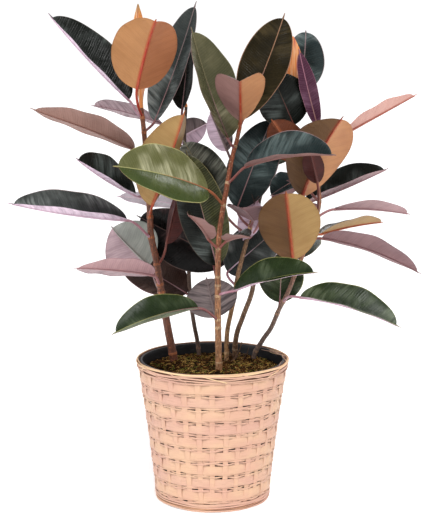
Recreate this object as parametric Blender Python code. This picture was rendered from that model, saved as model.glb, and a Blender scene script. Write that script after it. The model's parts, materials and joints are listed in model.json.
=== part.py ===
"""A potted rubber plant: six stems with broad leaves in a nursery pot inside a woven basket.

Metres, +Z up. The origin is the middle of the basket's flat underside. The plant is seen from -Y.
"""

import math
import random
from dataclasses import dataclass

import bmesh
import bpy
from mathutils import Vector

# Driving dimensions of the basket and the pot.
BASKET_HEIGHT = 0.268
BASKET_TOP_RADIUS = 0.1435
BASKET_BOTTOM_RADIUS = 0.108
BASKET_WAIST = 0.0022
BASKET_WALL = 0.0045
BASKET_FLOOR = 0.005
WEAVE_ROWS = 9
WEAVE_BLOCKS = 16
WEAVE_RELIEF = 0.0013
ROUND_SIDES = 32
RIM_HEIGHT = 0.017
RIM_BULGE = 0.0025
FOOT_HEIGHT = 0.017
POT_TOP_RADIUS = 0.1345
POT_BOTTOM_RADIUS = 0.098
POT_WALL = 0.002
POT_LIP_RADIUS = 0.1375
POT_LIP_HEIGHT = 0.006
POT_HEIGHT = 0.261
SOIL_TOP = 0.240
MOSS_EDGE = 0.007
MOSS_MOUND = 0.004
MOSS_BUMP = 0.0025
GAP = 0.0003

# Driving dimensions of the plant.
ROOT_END = 0.175
STEM_SIDES = 8
STEM_STEP = 0.045
BLADE_THICKNESS = 0.0011
KEEL_DEPTH = 0.0014
PETIOLE_RADIUS = 0.0023
HALF_ARCH = 0.22
DRIP_START = 0.95
DRIP_HALF_WIDTH = 0.0018
DRIP_END = 1.03
BLADE_FULLNESS = 0.54
BLADE_RINGS = (0.0, 0.035, 0.13, 0.28, 0.46, 0.64, 0.80, 0.92, 1.0)
PETIOLE_RINGS = (0.0, 0.35, 0.7)

# Each stem: the radius at the soil and at the top, and the points its axis passes.
STEMS = {
    "left": (0.0085, 0.0042, (
        (-0.072, 0.050, 0.175), (-0.074, 0.050, 0.245), (-0.085, 0.045, 0.310), (-0.098, 0.040, 0.390),
        (-0.107, 0.035, 0.450), (-0.116, 0.035, 0.494), (-0.118, 0.030, 0.540), (-0.122, 0.025, 0.620),
        (-0.127, 0.020, 0.690), (-0.132, 0.022, 0.735),
    )),
    "back": (0.0045, 0.0030, (
        (-0.024, 0.090, 0.175), (-0.026, 0.092, 0.245), (-0.030, 0.095, 0.280), (-0.035, 0.090, 0.307),
        (-0.040, 0.090, 0.340), (-0.044, 0.085, 0.381), (-0.046, 0.085, 0.425), (-0.048, 0.085, 0.490),
        (-0.050, 0.085, 0.576), (-0.053, 0.080, 0.680), (-0.050, 0.080, 0.735),
    )),
    "middle": (0.0070, 0.0036, (
        (0.012, -0.030, 0.175), (0.012, -0.030, 0.244), (0.010, -0.030, 0.353), (0.010, -0.030, 0.440),
        (0.012, -0.030, 0.500), (0.017, -0.030, 0.540), (0.023, -0.030, 0.575), (0.028, -0.030, 0.604),
        (0.034, -0.025, 0.637), (0.039, -0.025, 0.660), (0.045, -0.020, 0.680), (0.052, -0.020, 0.715),
    )),
    "inner": (0.0050, 0.0038, (
        (0.026, 0.048, 0.175), (0.027, 0.048, 0.245), (0.028, 0.045, 0.304), (0.036, 0.035, 0.350),
        (0.041, 0.028, 0.375), (0.048, 0.020, 0.422), (0.061, 0.012, 0.476), (0.073, 0.010, 0.525),
    )),
    "branch": (0.0055, 0.0034, (
        (0.042, 0.080, 0.175), (0.043, 0.080, 0.250), (0.047, 0.074, 0.296), (0.060, 0.070, 0.335),
        (0.078, 0.070, 0.390), (0.085, 0.070, 0.480), (0.088, 0.070, 0.550), (0.096, 0.070, 0.580),
        (0.106, 0.070, 0.612), (0.128, 0.065, 0.654), (0.141, 0.060, 0.700), (0.146, 0.056, 0.742),
    )),
    "right": (0.0052, 0.0032, (
        (0.076, 0.068, 0.175), (0.079, 0.068, 0.248), (0.096, 0.065, 0.285), (0.113, 0.060, 0.312),
        (0.128, 0.052, 0.350), (0.143, 0.050, 0.380), (0.157, 0.045, 0.418), (0.175, 0.040, 0.466),
        (0.190, 0.035, 0.505), (0.198, 0.030, 0.540), (0.201, 0.030, 0.565), (0.196, 0.030, 0.605),
    )),
}

# The young leaf that ends a stem, still rolled up: its tip and its width. The other stems end in a small bud.
YOUNG_LEAVES = {
    "left": ((-0.136, 0.014, 0.927), 0.032),
    "branch": ((0.150, 0.055, 0.868), 0.040),
}
YOUNG_LEAF_THICKNESS = 0.0045
YOUNG_LEAF_SKEW = 1.3
YOUNG_LEAF_RINGS = (0.12, 0.4, 0.75, 0.93)
BUD_LENGTH = 2.4


@dataclass
class Leaf:
    """A blade from its neck to its tip. node is the height at which its stalk leaves the stem, face is the
    way its upper side looks, fold raises each half, bow arches the midrib, and curl bends its end back over
    the upper side. The three are in degrees. A lower skew puts the widest place nearer the stalk."""

    name: str
    stem: str
    node: float
    neck: tuple
    tip: tuple
    width: float
    face: tuple
    fold: float = 12
    bow: float = 18
    curl: float = 0
    top: str = "dark"
    under: str = "mauve"
    skew: float = 0.93


LEAVES = (
    Leaf("leaf_left_round", "left", 0.718, (-0.138, -0.010, 0.770), (-0.097, -0.120, 0.893), 0.130,
         (0, 0.7, 0.7), 26, 40, 0, "dark", "orange", 0.74),
    Leaf("leaf_left_high", "left", 0.715, (-0.155, 0.030, 0.750), (-0.303, 0.040, 0.908), 0.110,
         (0.61, -0.46, 0.61), 36, -10, 0, "dark", "lilac"),
    Leaf("leaf_left_upright", "left", 0.690, (-0.108, 0.048, 0.710), (-0.030, 0.068, 0.931), 0.086,
         (-0.6, -0.75, 0.15), 24, -10, 0, "slate", "mauve"),
    Leaf("leaf_left_far", "back", 0.655, (-0.094, 0.072, 0.703), (-0.236, 0.150, 0.735), 0.072,
         (0.1, 0.50, 0.85), 10, 12, 0, "dark", "mauve"),
    Leaf("leaf_left_brown", "left", 0.640, (-0.145, 0.000, 0.660), (-0.328, -0.050, 0.738), 0.105,
         (0.3, 0.45, 0.85), 12, 14, 10, "dark", "rose"),
    Leaf("leaf_left_pointing", "left", 0.560, (-0.143, 0.012, 0.574), (-0.243, -0.090, 0.651), 0.095,
         (0.3, -0.5, 0.8), 32, -14, 0, "dark", "mauve"),
    Leaf("leaf_left_rising", "left", 0.530, (-0.112, -0.008, 0.556), (-0.049, -0.060, 0.734), 0.115,
         (-0.64, 0.77, 0.2), 36, -8, 0, "dark", "orange"),
    Leaf("leaf_left_long", "left", 0.490, (-0.159, 0.000, 0.529), (-0.370, -0.060, 0.567), 0.108,
         (0, -0.3, 0.95), 34, -10, 0, "slate", "lilac"),
    Leaf("leaf_left_lilac", "left", 0.385, (-0.122, 0.058, 0.433), (-0.194, 0.078, 0.507), 0.118,
         (0.1, 0.98, 0.15), 8, -10, 30, "teal", "lilac"),
    Leaf("leaf_left_beige", "left", 0.400, (-0.112, 0.008, 0.424), (-0.247, -0.110, 0.456), 0.086,
         (0, 0.6, 0.8), 10, 8, 0, "dark", "rose"),
    Leaf("leaf_left_maroon", "left", 0.440, (-0.086, 0.022, 0.481), (-0.044, 0.055, 0.640), 0.064,
         (0.64, 0.77, 0.1), 34, -6, 0, "dark", "maroon"),
    Leaf("leaf_middle_green", "middle", 0.560, (-0.008, -0.070, 0.592), (-0.171, -0.170, 0.643), 0.124,
         (-0.1, -0.75, 0.65), 10, 24, 0, "green", "mauve"),
    Leaf("leaf_middle_heart", "middle", 0.695, (0.051, -0.045, 0.714), (0.046, -0.190, 0.788), 0.102,
         (0, 0.5, 0.85), 30, 50, 0, "dark", "orange"),
    Leaf("leaf_middle_tall", "middle", 0.665, (0.028, -0.038, 0.683), (-0.039, -0.020, 0.882), 0.122,
         (0.8, -0.6, 0.1), 24, -10, 0, "olive", "mauve"),
    Leaf("leaf_middle_tip", "middle", 0.700, (0.056, 0.000, 0.715), (0.133, 0.030, 0.908), 0.100,
         (-0.4, -0.88, 0.2), 14, -18, 0, "bronze", "rose", 1.2),
    Leaf("leaf_middle_teal", "middle", 0.600, (0.061, -0.050, 0.633), (0.217, -0.120, 0.658), 0.100,
         (0, -0.5, 0.87), 36, 26, 0, "teal", "rose"),
    Leaf("leaf_middle_veined", "middle", 0.425, (0.008, -0.008, 0.445), (-0.049, 0.000, 0.659), 0.090,
         (0, -1, 0.1), 8, 8, 0, "olive", "mauve"),
    Leaf("leaf_inner_shiny", "inner", 0.498, (0.014, 0.010, 0.553), (-0.055, 0.026, 0.676), 0.090,
         (0.1, -0.95, 0.3), 12, 12, 0, "dark", "mauve"),
    Leaf("leaf_inner_teal", "inner", 0.512, (0.047, 0.030, 0.549), (0.113, 0.060, 0.717), 0.095,
         (-0.1, -0.95, 0.3), 12, 10, 0, "teal", "mauve"),
    Leaf("leaf_middle_slope", "middle", 0.410, (0.000, 0.030, 0.452), (-0.030, 0.064, 0.629), 0.090,
         (-0.2, -0.95, 0.1), 10, 8, 0, "dark", "mauve"),
    Leaf("leaf_middle_pink_left", "middle", 0.480, (-0.007, -0.050, 0.500), (-0.043, -0.170, 0.560), 0.052,
         (0.5, 0.2, 0.8), 24, 12, 0, "dark", "rose"),
    Leaf("leaf_middle_pink_right", "middle", 0.478, (0.026, -0.050, 0.497), (0.066, -0.160, 0.519), 0.048,
         (-0.3, 0.3, 0.9), 26, 12, 0, "dark", "rose"),
    Leaf("leaf_middle_low", "middle", 0.345, (-0.026, -0.070, 0.376), (-0.178, -0.150, 0.343), 0.076,
         (0, -0.5, 0.85), 34, 32, 0, "green", "mauve"),
    Leaf("leaf_middle_streaked", "middle", 0.330, (0.006, -0.004, 0.345), (-0.012, -0.004, 0.422), 0.098,
         (0, 1, 0.1), 6, -6, 0, "slate", "rose"),
    Leaf("leaf_middle_front", "middle", 0.390, (0.040, -0.050, 0.405), (0.188, -0.110, 0.448), 0.086,
         (-0.05, -0.45, 0.9), 30, 22, 0, "green", "lilac"),
    Leaf("leaf_branch_wide", "branch", 0.420, (0.028, 0.058, 0.443), (-0.147, 0.102, 0.525), 0.110,
         (-0.2, -1, 0.05), 10, 16, 0, "dark", "maroon"),
    Leaf("leaf_back_low", "back", 0.372, (-0.050, 0.078, 0.376), (-0.183, 0.190, 0.430), 0.095,
         (0, -0.8, 0.6), 12, 14, 0, "maroon", "mauve"),
    Leaf("leaf_back_narrow", "back", 0.705, (-0.058, 0.085, 0.730), (-0.046, 0.115, 0.862), 0.060,
         (-0.6, -0.8, 0), 24, -6, 0, "dark", "mauve"),
    Leaf("leaf_back_spread", "back", 0.580, (-0.058, 0.140, 0.605), (-0.100, 0.300, 0.630), 0.100,
         (0, -0.2, 1), 12, 24, 0, "green", "mauve"),
    Leaf("leaf_inner_slate", "inner", 0.400, (0.029, 0.038, 0.425), (0.126, 0.055, 0.507), 0.095,
         (-0.3, -0.9, 0.3), 8, 8, 0, "slate", "lilac"),
    Leaf("leaf_inner_mauve", "inner", 0.515, (0.074, -0.020, 0.530), (0.050, -0.115, 0.565), 0.080,
         (0.2, 0.6, 0.75), 16, 14, 0, "dark", "mauve"),
    Leaf("leaf_right_teal", "right", 0.560, (0.158, 0.034, 0.601), (0.107, 0.000, 0.574), 0.056,
         (0.2, -0.5, 0.85), 34, 14, 0, "teal", "rose"),
    Leaf("leaf_right_brown", "right", 0.590, (0.160, 0.012, 0.640), (0.108, 0.008, 0.715), 0.070,
         (0, 1, 0.2), 12, 0, 0, "dark", "orange"),
    Leaf("leaf_branch_round", "branch", 0.725, (0.170, 0.090, 0.764), (0.177, 0.105, 0.878), 0.078,
         (0, -1, 0.1), 8, -10, -60, "slate", "mauve"),
    Leaf("leaf_branch_purple", "branch", 0.672, (0.196, 0.036, 0.700), (0.159, 0.026, 0.843), 0.036,
         (0.3, -0.9, 0), 16, -10, 0, "maroon", "rose"),
    Leaf("leaf_branch_black", "branch", 0.690, (0.152, 0.040, 0.702), (0.107, 0.036, 0.802), 0.100,
         (0.1, -0.95, 0.2), 6, 10, 0, "dark", "maroon"),
    Leaf("leaf_branch_spread", "branch", 0.590, (0.120, 0.130, 0.620), (0.170, 0.310, 0.660), 0.100,
         (0, -0.2, 1), 12, 24, 0, "green", "mauve"),
    Leaf("leaf_right_round", "right", 0.430, (0.147, -0.050, 0.462), (0.128, -0.140, 0.597), 0.114,
         (0, 0.8, 0.6), 10, 30, 0, "dark", "tan"),
    Leaf("leaf_right_folded", "right", 0.550, (0.179, 0.085, 0.551), (0.333, 0.060, 0.620), 0.098,
         (0, -0.3, 0.95), 34, -6, 0, "dark", "rose"),
    Leaf("leaf_right_mauve", "right", 0.530, (0.231, 0.040, 0.545), (0.379, 0.080, 0.530), 0.085,
         (0, 0.25, 0.97), 14, 14, 0, "dark", "mauve"),
    Leaf("leaf_right_level", "right", 0.490, (0.206, 0.050, 0.496), (0.337, 0.150, 0.506), 0.066,
         (0, 0.3, 0.95), 26, 10, 0, "dark", "tan"),
    Leaf("leaf_right_drooping", "right", 0.475, (0.204, 0.000, 0.495), (0.385, -0.040, 0.433), 0.095,
         (-0.2, 0.45, 0.85), 14, 24, 0, "dark", "rose"),
    Leaf("leaf_right_low", "right", 0.365, (0.163, -0.020, 0.387), (0.343, -0.080, 0.341), 0.092,
         (0.1, -0.4, 0.9), 34, 24, 0, "green", "lilac"),
    Leaf("leaf_right_bright", "right", 0.340, (0.130, 0.075, 0.359), (0.137, 0.130, 0.450), 0.090,
         (0, -0.9, 0.4), 12, 10, 0, "green", "mauve"),
    Leaf("leaf_right_spread", "right", 0.430, (0.165, 0.100, 0.440), (0.172, 0.265, 0.455), 0.100,
         (0, -0.2, 1), 12, 26, 0, "green", "mauve"),
    Leaf("leaf_right_maroon", "right", 0.505, (0.191, -0.040, 0.601), (0.174, -0.050, 0.668), 0.040,
         (0, 1, 0.1), 14, -6, 0, "dark", "maroon"),
    Leaf("leaf_right_tan", "right", 0.545, (0.166, -0.003, 0.573), (0.233, -0.075, 0.724), 0.126,
         (-0.25, 0.8, 0.5), 12, 30, 0, "dark", "tan", 1.15),
    Leaf("leaf_right_salmon", "right", 0.595, (0.243, 0.010, 0.688), (0.379, 0.030, 0.760), 0.085,
         (-0.45, 0.2, 0.85), 20, 0, 0, "dark", "salmon"),
)

# Linear colour, roughness and metallic value of each finish.
FINISHES = {
    "bamboo": ((0.80, 0.58, 0.36), 0.55),
    "bamboo_edge": ((0.74, 0.50, 0.30), 0.55),
    "black_plastic": ((0.012, 0.012, 0.013), 0.45),
    "soil": ((0.030, 0.018, 0.011), 0.95),
    "moss": ((0.10, 0.075, 0.018), 0.95),
    "bark": ((0.30, 0.145, 0.075), 0.6),
    "dark": ((0.012, 0.018, 0.015), 0.28),
    "slate": ((0.040, 0.050, 0.050), 0.3),
    "teal": ((0.020, 0.034, 0.034), 0.28),
    "green": ((0.035, 0.070, 0.025), 0.3),
    "olive": ((0.075, 0.080, 0.040), 0.3),
    "bronze": ((0.035, 0.028, 0.010), 0.3),
    "orange": ((0.46, 0.22, 0.11), 0.45),
    "tan": ((0.38, 0.25, 0.10), 0.45),
    "salmon": ((0.50, 0.26, 0.17), 0.45),
    "rose": ((0.45, 0.26, 0.23), 0.45),
    "mauve": ((0.30, 0.18, 0.19), 0.45),
    "lilac": ((0.55, 0.42, 0.52), 0.45),
    "maroon": ((0.060, 0.018, 0.018), 0.4),
}


def finish(name):
    material = bpy.data.materials.get(name)
    if material is None:
        colour, roughness = FINISHES[name]
        material = bpy.data.materials.new(name)
        material.use_nodes = True
        shader = material.node_tree.nodes["Principled BSDF"]
        shader.inputs["Base Color"].default_value = (*colour, 1)
        shader.inputs["Roughness"].default_value = roughness
        shader.inputs["Metallic"].default_value = 0
    return material


def clear_scene():
    for obj in list(bpy.data.objects):
        bpy.data.objects.remove(obj, do_unlink=True)


def solid(name, points, faces, finishes, finish_of_face=None):
    """A mesh object with its faces turned outward and its sharp edges kept."""
    mesh = bpy.data.meshes.new(name)
    mesh.from_pydata([tuple(p) for p in points], [], faces)
    for each in finishes:
        mesh.materials.append(finish(each))
    if finish_of_face:
        mesh.polygons.foreach_set("material_index", finish_of_face)
    shape = bmesh.new()
    shape.from_mesh(mesh)
    bmesh.ops.recalc_face_normals(shape, faces=shape.faces)
    if shape.calc_volume(signed=True) < 0:
        bmesh.ops.reverse_faces(shape, faces=shape.faces)
    shape.to_mesh(mesh)
    shape.free()
    mesh.shade_smooth()
    mesh.set_sharp_from_angle(angle=math.radians(40))
    obj = bpy.data.objects.new(name, mesh)
    bpy.context.scene.collection.objects.link(obj)
    return obj


def cut(obj, cutter):
    modifier = obj.modifiers.new("cut_" + cutter.name, "BOOLEAN")
    modifier.operation = "DIFFERENCE"
    modifier.object = cutter


def smooth_path(points, step):
    """Points about a step apart on a Catmull-Rom curve through the given ones, both ends kept."""
    ends = [points[0] * 2 - points[1], *points, points[-1] * 2 - points[-2]]
    path = []
    for before, start, end, after in zip(ends, ends[1:], ends[2:], ends[3:]):
        count = max(1, round((end - start).length / step))
        for i in range(count):
            t = i / count
            path.append(0.5 * (
                2 * start
                + (end - before) * t
                + (2 * before - 5 * start + 4 * end - after) * t**2
                + (3 * start - before - 3 * end + after) * t**3
            ))
    path.append(points[-1])
    return path


def turned(name, profile, segments, finish_name, radius_shift=None):
    """A body turned about Z from a closed profile of (radius, height) points. Points on the axis become one.
    radius_shift(index, turn) moves a profile point outward at a turn from 0 to 1."""
    points, rings = [], []
    for index, (radius, height) in enumerate(profile):
        if radius == 0:
            rings.append([len(points)] * segments)
            points.append((0, 0, height))
            continue
        rings.append(list(range(len(points), len(points) + segments)))
        for j in range(segments):
            turn = j / segments
            r = radius + (radius_shift(index, turn) if radius_shift else 0)
            points.append((r * math.cos(math.tau * turn), r * math.sin(math.tau * turn), height))
    faces = []
    closed = profile[0][0] != 0
    pairs = list(zip(rings, rings[1:])) + ([(rings[-1], rings[0])] if closed else [])
    for lower, upper in pairs:
        for j in range(segments):
            k = (j + 1) % segments
            face = [lower[j], lower[k], upper[k], upper[j]]
            face = [p for i, p in enumerate(face) if p not in face[:i]]
            if len(face) > 2:
                faces.append(face)
    return solid(name, points, faces, [finish_name])


def basket_radius(height):
    """The wall's mean outer radius: a taper that is drawn in a little at half height."""
    t = height / BASKET_HEIGHT
    taper = (BASKET_TOP_RADIUS - BASKET_BOTTOM_RADIUS) * t
    return BASKET_BOTTOM_RADIUS + taper - BASKET_WAIST * math.sin(math.pi * t)


def basket_wall():
    """The woven wall and the floor as one cup. Each row bulges over one stake and dips behind the next."""
    bottom = FOOT_HEIGHT + 2 * GAP
    top = BASKET_HEIGHT - RIM_HEIGHT - GAP
    row = (top - bottom) / WEAVE_ROWS
    inset = RIM_BULGE
    profile = [(0, 0), (BASKET_BOTTOM_RADIUS - inset, 0), (basket_radius(bottom) - inset, bottom - GAP)]
    shifts = [None, None, None]
    for i in range(WEAVE_ROWS):
        for part, depth in ((0.0, -0.6), (0.25, 1.0), (0.78, 1.0)):
            height = bottom + (i + part) * row
            profile.append((basket_radius(height), height))
            shifts.append((i, depth))
    profile += [
        (basket_radius(top), top),
        (basket_radius(top) - BASKET_WALL, top),
        (BASKET_BOTTOM_RADIUS - BASKET_WALL, BASKET_FLOOR),
        (0, BASKET_FLOOR),
    ]
    shifts += [None] * 4

    def weave(index, turn):
        if shifts[index] is None:
            return 0
        i, depth = shifts[index]
        if depth < 0:
            return depth * WEAVE_RELIEF
        over = math.cos(math.tau * turn * WEAVE_BLOCKS + math.pi * i)
        return WEAVE_RELIEF * (0.35 + 0.65 * over)

    turned("basket_wall", profile, 2 * WEAVE_BLOCKS, "bamboo", weave)


def banded_ring(name, bottom, top, inside, bulge, bands):
    """A ring of thin bands laid one above the other round the basket."""
    profile = [(inside(bottom), bottom)]
    for i in range(bands):
        low = bottom + (top - bottom) * i / bands
        high = bottom + (top - bottom) * (i + 1) / bands
        profile.append((basket_radius(low) + bulge * 0.35, low))
        profile.append((basket_radius((low + high) / 2) + bulge, (low + high) / 2))
    profile.append((basket_radius(top) + bulge * 0.35, top))
    profile.append((inside(top), top))
    turned(name, profile, ROUND_SIDES, "bamboo_edge")


def basket_rim():
    """Splints bound on top of the wall, as deep as it is thick."""
    banded_ring(
        "basket_rim", BASKET_HEIGHT - RIM_HEIGHT, BASKET_HEIGHT,
        lambda height: basket_radius(height) - BASKET_WALL, RIM_BULGE, 2,
    )


def basket_foot():
    """Splints bound round the wall's recessed lowest stretch."""
    clear = RIM_BULGE - GAP * 2
    banded_ring("basket_foot", GAP, FOOT_HEIGHT, lambda height: basket_radius(height) - clear, RIM_BULGE, 2)


def pot_radius(height):
    t = (height - BASKET_FLOOR) / POT_HEIGHT
    return POT_BOTTOM_RADIUS + (POT_TOP_RADIUS - POT_BOTTOM_RADIUS) * t


def nursery_pot():
    foot = BASKET_FLOOR + GAP
    top = foot + POT_HEIGHT
    lip = top - POT_LIP_HEIGHT
    turned("nursery_pot", [
        (0, foot),
        (pot_radius(foot), foot),
        (pot_radius(lip), lip),
        (POT_LIP_RADIUS, lip + 0.001),
        (POT_LIP_RADIUS, top - 0.001),
        (POT_LIP_RADIUS - 0.001, top),
        (pot_radius(top) - POT_WALL, top),
        (pot_radius(foot) - POT_WALL, foot + POT_WALL),
        (0, foot + POT_WALL),
    ], ROUND_SIDES, "black_plastic")


def stem_radius(low, high, height, top):
    t = min(1, max(0, (height - ROOT_END) / (top - ROOT_END)))
    return low + (high - low) * t


def stem_tube(name, extra):
    """A round stem along its path, thicker by extra. It ends in its young leaf or in a short bud."""
    low, high, points = STEMS[name]
    path = smooth_path([Vector(p) for p in points], STEM_STEP)
    top = points[-1][2]
    rings, faces, verts = [], [], []
    normal = Vector((1, 0, 0))
    for i, centre in enumerate(path):
        along = (path[min(i + 1, len(path) - 1)] - path[max(i - 1, 0)]).normalized()
        normal = (normal - along * normal.dot(along)).normalized()
        side = along.cross(normal)
        radius = stem_radius(low, high, centre.z, top) + extra
        ring = []
        for j in range(STEM_SIDES):
            angle = math.tau * j / STEM_SIDES
            ring.append(len(verts))
            verts.append(centre + (normal * math.cos(angle) + side * math.sin(angle)) * radius)
        rings.append(ring)
    for lower, upper in zip(rings, rings[1:]):
        for j in range(STEM_SIDES):
            k = (j + 1) % STEM_SIDES
            faces.append((lower[j], lower[k], upper[k], upper[j]))
    faces.append(tuple(rings[0]))
    bark_faces = len(faces)
    tip = path[-1] + (path[-1] - path[-2]).normalized() * high * BUD_LENGTH
    if name in YOUNG_LEAVES and not extra:
        tip = Vector(YOUNG_LEAVES[name][0])
        for t in YOUNG_LEAF_RINGS:
            rings.append(young_leaf_ring(name, path[-1].lerp(tip, t), t, verts))
            for j in range(STEM_SIDES):
                k = (j + 1) % STEM_SIDES
                faces.append((rings[-2][j], rings[-2][k], rings[-1][k], rings[-1][j]))
    end = len(verts)
    verts.append(tip)
    for j in range(STEM_SIDES):
        faces.append((rings[-1][j], rings[-1][(j + 1) % STEM_SIDES], end))
    return verts, faces, [0] * bark_faces + [1] * (len(faces) - bark_faces)


def young_leaf_ring(name, centre, t, verts):
    """A flat ellipse across a rolled leaf, widest below its middle."""
    width = YOUNG_LEAVES[name][1] * math.sin(math.pi * (0.08 + 0.92 * t) ** YOUNG_LEAF_SKEW)
    depth = YOUNG_LEAF_THICKNESS * (1 - 0.7 * t)
    ring = []
    for j in range(STEM_SIDES):
        angle = math.tau * j / STEM_SIDES
        ring.append(len(verts))
        verts.append(centre + Vector((math.cos(angle) * width / 2, math.sin(angle) * depth / 2, 0)))
    return ring


def stem(name):
    verts, faces, finishes = stem_tube(name, 0)
    solid("stem_" + name, verts, faces, ["bark", "orange"], finishes)


def stem_cutter(name):
    verts, faces, _ = stem_tube(name, GAP * 1.4)
    cutter = solid("room_for_stem_" + name, verts, faces, ["bark"])
    cutter.hide_render = True
    cutter.display_type = "WIRE"
    return cutter


def stem_point(name, height):
    """The point of the stem's axis at a height, and the stem's radius there."""
    low, high, points = STEMS[name]
    path = smooth_path([Vector(p) for p in points], 0.004)
    nearest = min(path, key=lambda p: abs(p.z - height))
    return nearest, stem_radius(low, high, height, points[-1][2])


def soil(cutters):
    floor = BASKET_FLOOR + POT_WALL + 2 * GAP
    inside = POT_WALL + GAP
    body = turned("soil", [
        (0, floor),
        (pot_radius(floor) - inside, floor),
        (pot_radius(SOIL_TOP) - inside, SOIL_TOP),
        (0, SOIL_TOP),
    ], ROUND_SIDES, "soil")
    for cutter in cutters:
        cut(body, cutter)


def moss(cutters):
    """A bumpy mat on the soil, a little higher in the middle."""
    dice = random.Random(4)
    bottom = SOIL_TOP + GAP
    outside = pot_radius(bottom) - POT_WALL - GAP
    profile = [(0, bottom), (outside, bottom)]
    for part in (1.0, 0.8, 0.6, 0.4, 0.2):
        profile.append((outside * part, bottom + MOSS_EDGE + MOSS_MOUND * (1 - part**2)))
    profile.append((0, bottom + MOSS_EDGE + MOSS_MOUND))
    body = turned("moss", profile, ROUND_SIDES, "moss")
    for vertex in body.data.vertices:
        if vertex.co.z > bottom + MOSS_EDGE / 2:
            vertex.co.z += dice.uniform(-MOSS_BUMP, MOSS_BUMP)
    for cutter in cutters:
        cut(body, cutter)


def midrib(leaf):
    """The midrib's plane and a function that gives its point and slope at t from 0 to 1."""
    neck, tip = Vector(leaf.neck), Vector(leaf.tip)
    along = (tip - neck).normalized()
    face = Vector(leaf.face)
    up = (face - along * face.dot(along)).normalized()
    bow, curl = math.radians(leaf.bow), math.radians(leaf.curl)
    steps = 60
    slopes = []
    for i in range(steps + 1):
        t = i / steps
        end = min(1, max(0, (t - 0.55) / 0.45))
        slopes.append(bow * (0.5 - t) + curl * end * end)
    track = [(0.0, 0.0)]
    for a, b in zip(slopes, slopes[1:]):
        slope = (a + b) / 2
        track.append((track[-1][0] + math.cos(slope), track[-1][1] + math.sin(slope)))
    reach = math.hypot(*track[-1])
    lean = math.atan2(track[-1][1], track[-1][0])
    scale = (tip - neck).length / reach

    def at(t):
        i = min(int(t * steps), steps - 1)
        f = t * steps - i
        x = track[i][0] * (1 - f) + track[i + 1][0] * f
        z = track[i][1] * (1 - f) + track[i + 1][1] * f
        slope = slopes[i] * (1 - f) + slopes[i + 1] * f - lean
        level = (x * math.cos(lean) + z * math.sin(lean)) * scale
        rise = (z * math.cos(lean) - x * math.sin(lean)) * scale
        point = neck + along * level + up * rise
        return point, along * math.cos(slope) + up * math.sin(slope)

    return along, up, at


def half_width(leaf, t):
    """An ellipse with a slightly pointed end, then the short drip tip."""
    body = min(1, t / DRIP_START)
    blade = 0
    if 0 < body < 1:
        blade = leaf.width / 2 * math.sin(math.pi * body**leaf.skew) ** BLADE_FULLNESS
    drip = DRIP_HALF_WIDTH * min(1, (DRIP_END - t) / (DRIP_END - DRIP_START))
    return max(blade, drip, PETIOLE_RADIUS if t == 0 else 0)


def blade_ring(leaf, t, centre, tangent, side):
    """Eight points round the blade: five over the upper side from left to right, three back underneath."""
    up = side.cross(tangent)
    half = half_width(leaf, t)
    fold = math.radians(leaf.fold)

    def upper(s):
        arch = HALF_ARCH * abs(s) * (1 - abs(s))
        rise = half * (abs(s) * math.sin(fold) + arch)
        return centre + side * (s * half * math.cos(fold)) + up * rise

    keel = KEEL_DEPTH * (1 - 0.8 * t)
    top = [upper(s) for s in (-1, -0.5, 0, 0.5, 1)]
    below = up * BLADE_THICKNESS
    return top + [top[4] - below, top[2] - below - up * keel, top[0] - below]


def petiole_ring(centre, tangent, side, radius):
    up = side.cross(tangent)
    ring = []
    for j in range(8):
        angle = math.radians(180 - 45 * j)
        ring.append(centre + (side * math.cos(angle) + up * math.sin(angle)) * radius)
    return ring


def petiole_rings(leaf, tangent, side):
    """The stalk from the stem's axis to the blade, leaving the stem outward and meeting the midrib."""
    start, stem_size = stem_point(leaf.stem, leaf.node)
    neck = Vector(leaf.neck)
    span = neck - start
    outward = (Vector((span.x, span.y, 0)).normalized() + Vector((0, 0, 0.6))).normalized()
    reach = span.length
    bend = (start, start + outward * reach * 0.4, neck - tangent * reach * 0.35, neck)

    def curve(t):
        a, b, c, d = bend
        point = a * (1 - t) ** 3 + b * 3 * t * (1 - t) ** 2 + c * 3 * t * t * (1 - t) + d * t**3
        slope = (b - a) * (1 - t) ** 2 + (c - b) * 2 * t * (1 - t) + (d - c) * t * t
        return point, slope.normalized()

    rings = []
    later = tangent
    for t in reversed(PETIOLE_RINGS):
        centre, slope = curve(t)
        side = later.rotation_difference(slope) @ side
        later = slope
        radius = PETIOLE_RADIUS * (1.25 - 0.25 * t)
        rings.append(petiole_ring(centre, slope, side, min(radius, stem_size * 0.75) if t == 0 else radius))
    return rings[::-1]


def leaf_mesh(leaf):
    along, up, at = midrib(leaf)
    side = along.cross(up)
    _, first = at(0)
    rings = petiole_rings(leaf, first, side)
    for t in BLADE_RINGS:
        centre, tangent = at(t)
        rings.append(blade_ring(leaf, t, centre, tangent, side))
    size = len(rings[0])
    points = [p for ring in rings for p in ring]
    faces, finishes = [], []

    def add(face, is_under):
        faces.append(face)
        finishes.append(1 if is_under else 0)

    for i in range(len(rings) - 1):
        low, high = i * size, (i + 1) * size
        stalk = i < len(PETIOLE_RINGS)
        for j in range(size):
            k = (j + 1) % size
            under = stalk or j >= 4
            if j < 2 or 5 <= j < 6:
                add((low + j, low + k, high + k), under)
                add((low + j, high + k, high + j), under)
            else:
                add((low + j, low + k, high + j), under)
                add((low + k, high + k, high + j), under)
    for end in (0, len(points) - size):
        for j in range(1, size - 1):
            add((end, end + j, end + j + 1), True)
    return points, faces, finishes


def build_leaf(leaf, cutters):
    points, faces, finishes = leaf_mesh(leaf)
    obj = solid(leaf.name, points, faces, [leaf.top, leaf.under], finishes)
    cut(obj, cutters[leaf.stem])


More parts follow.
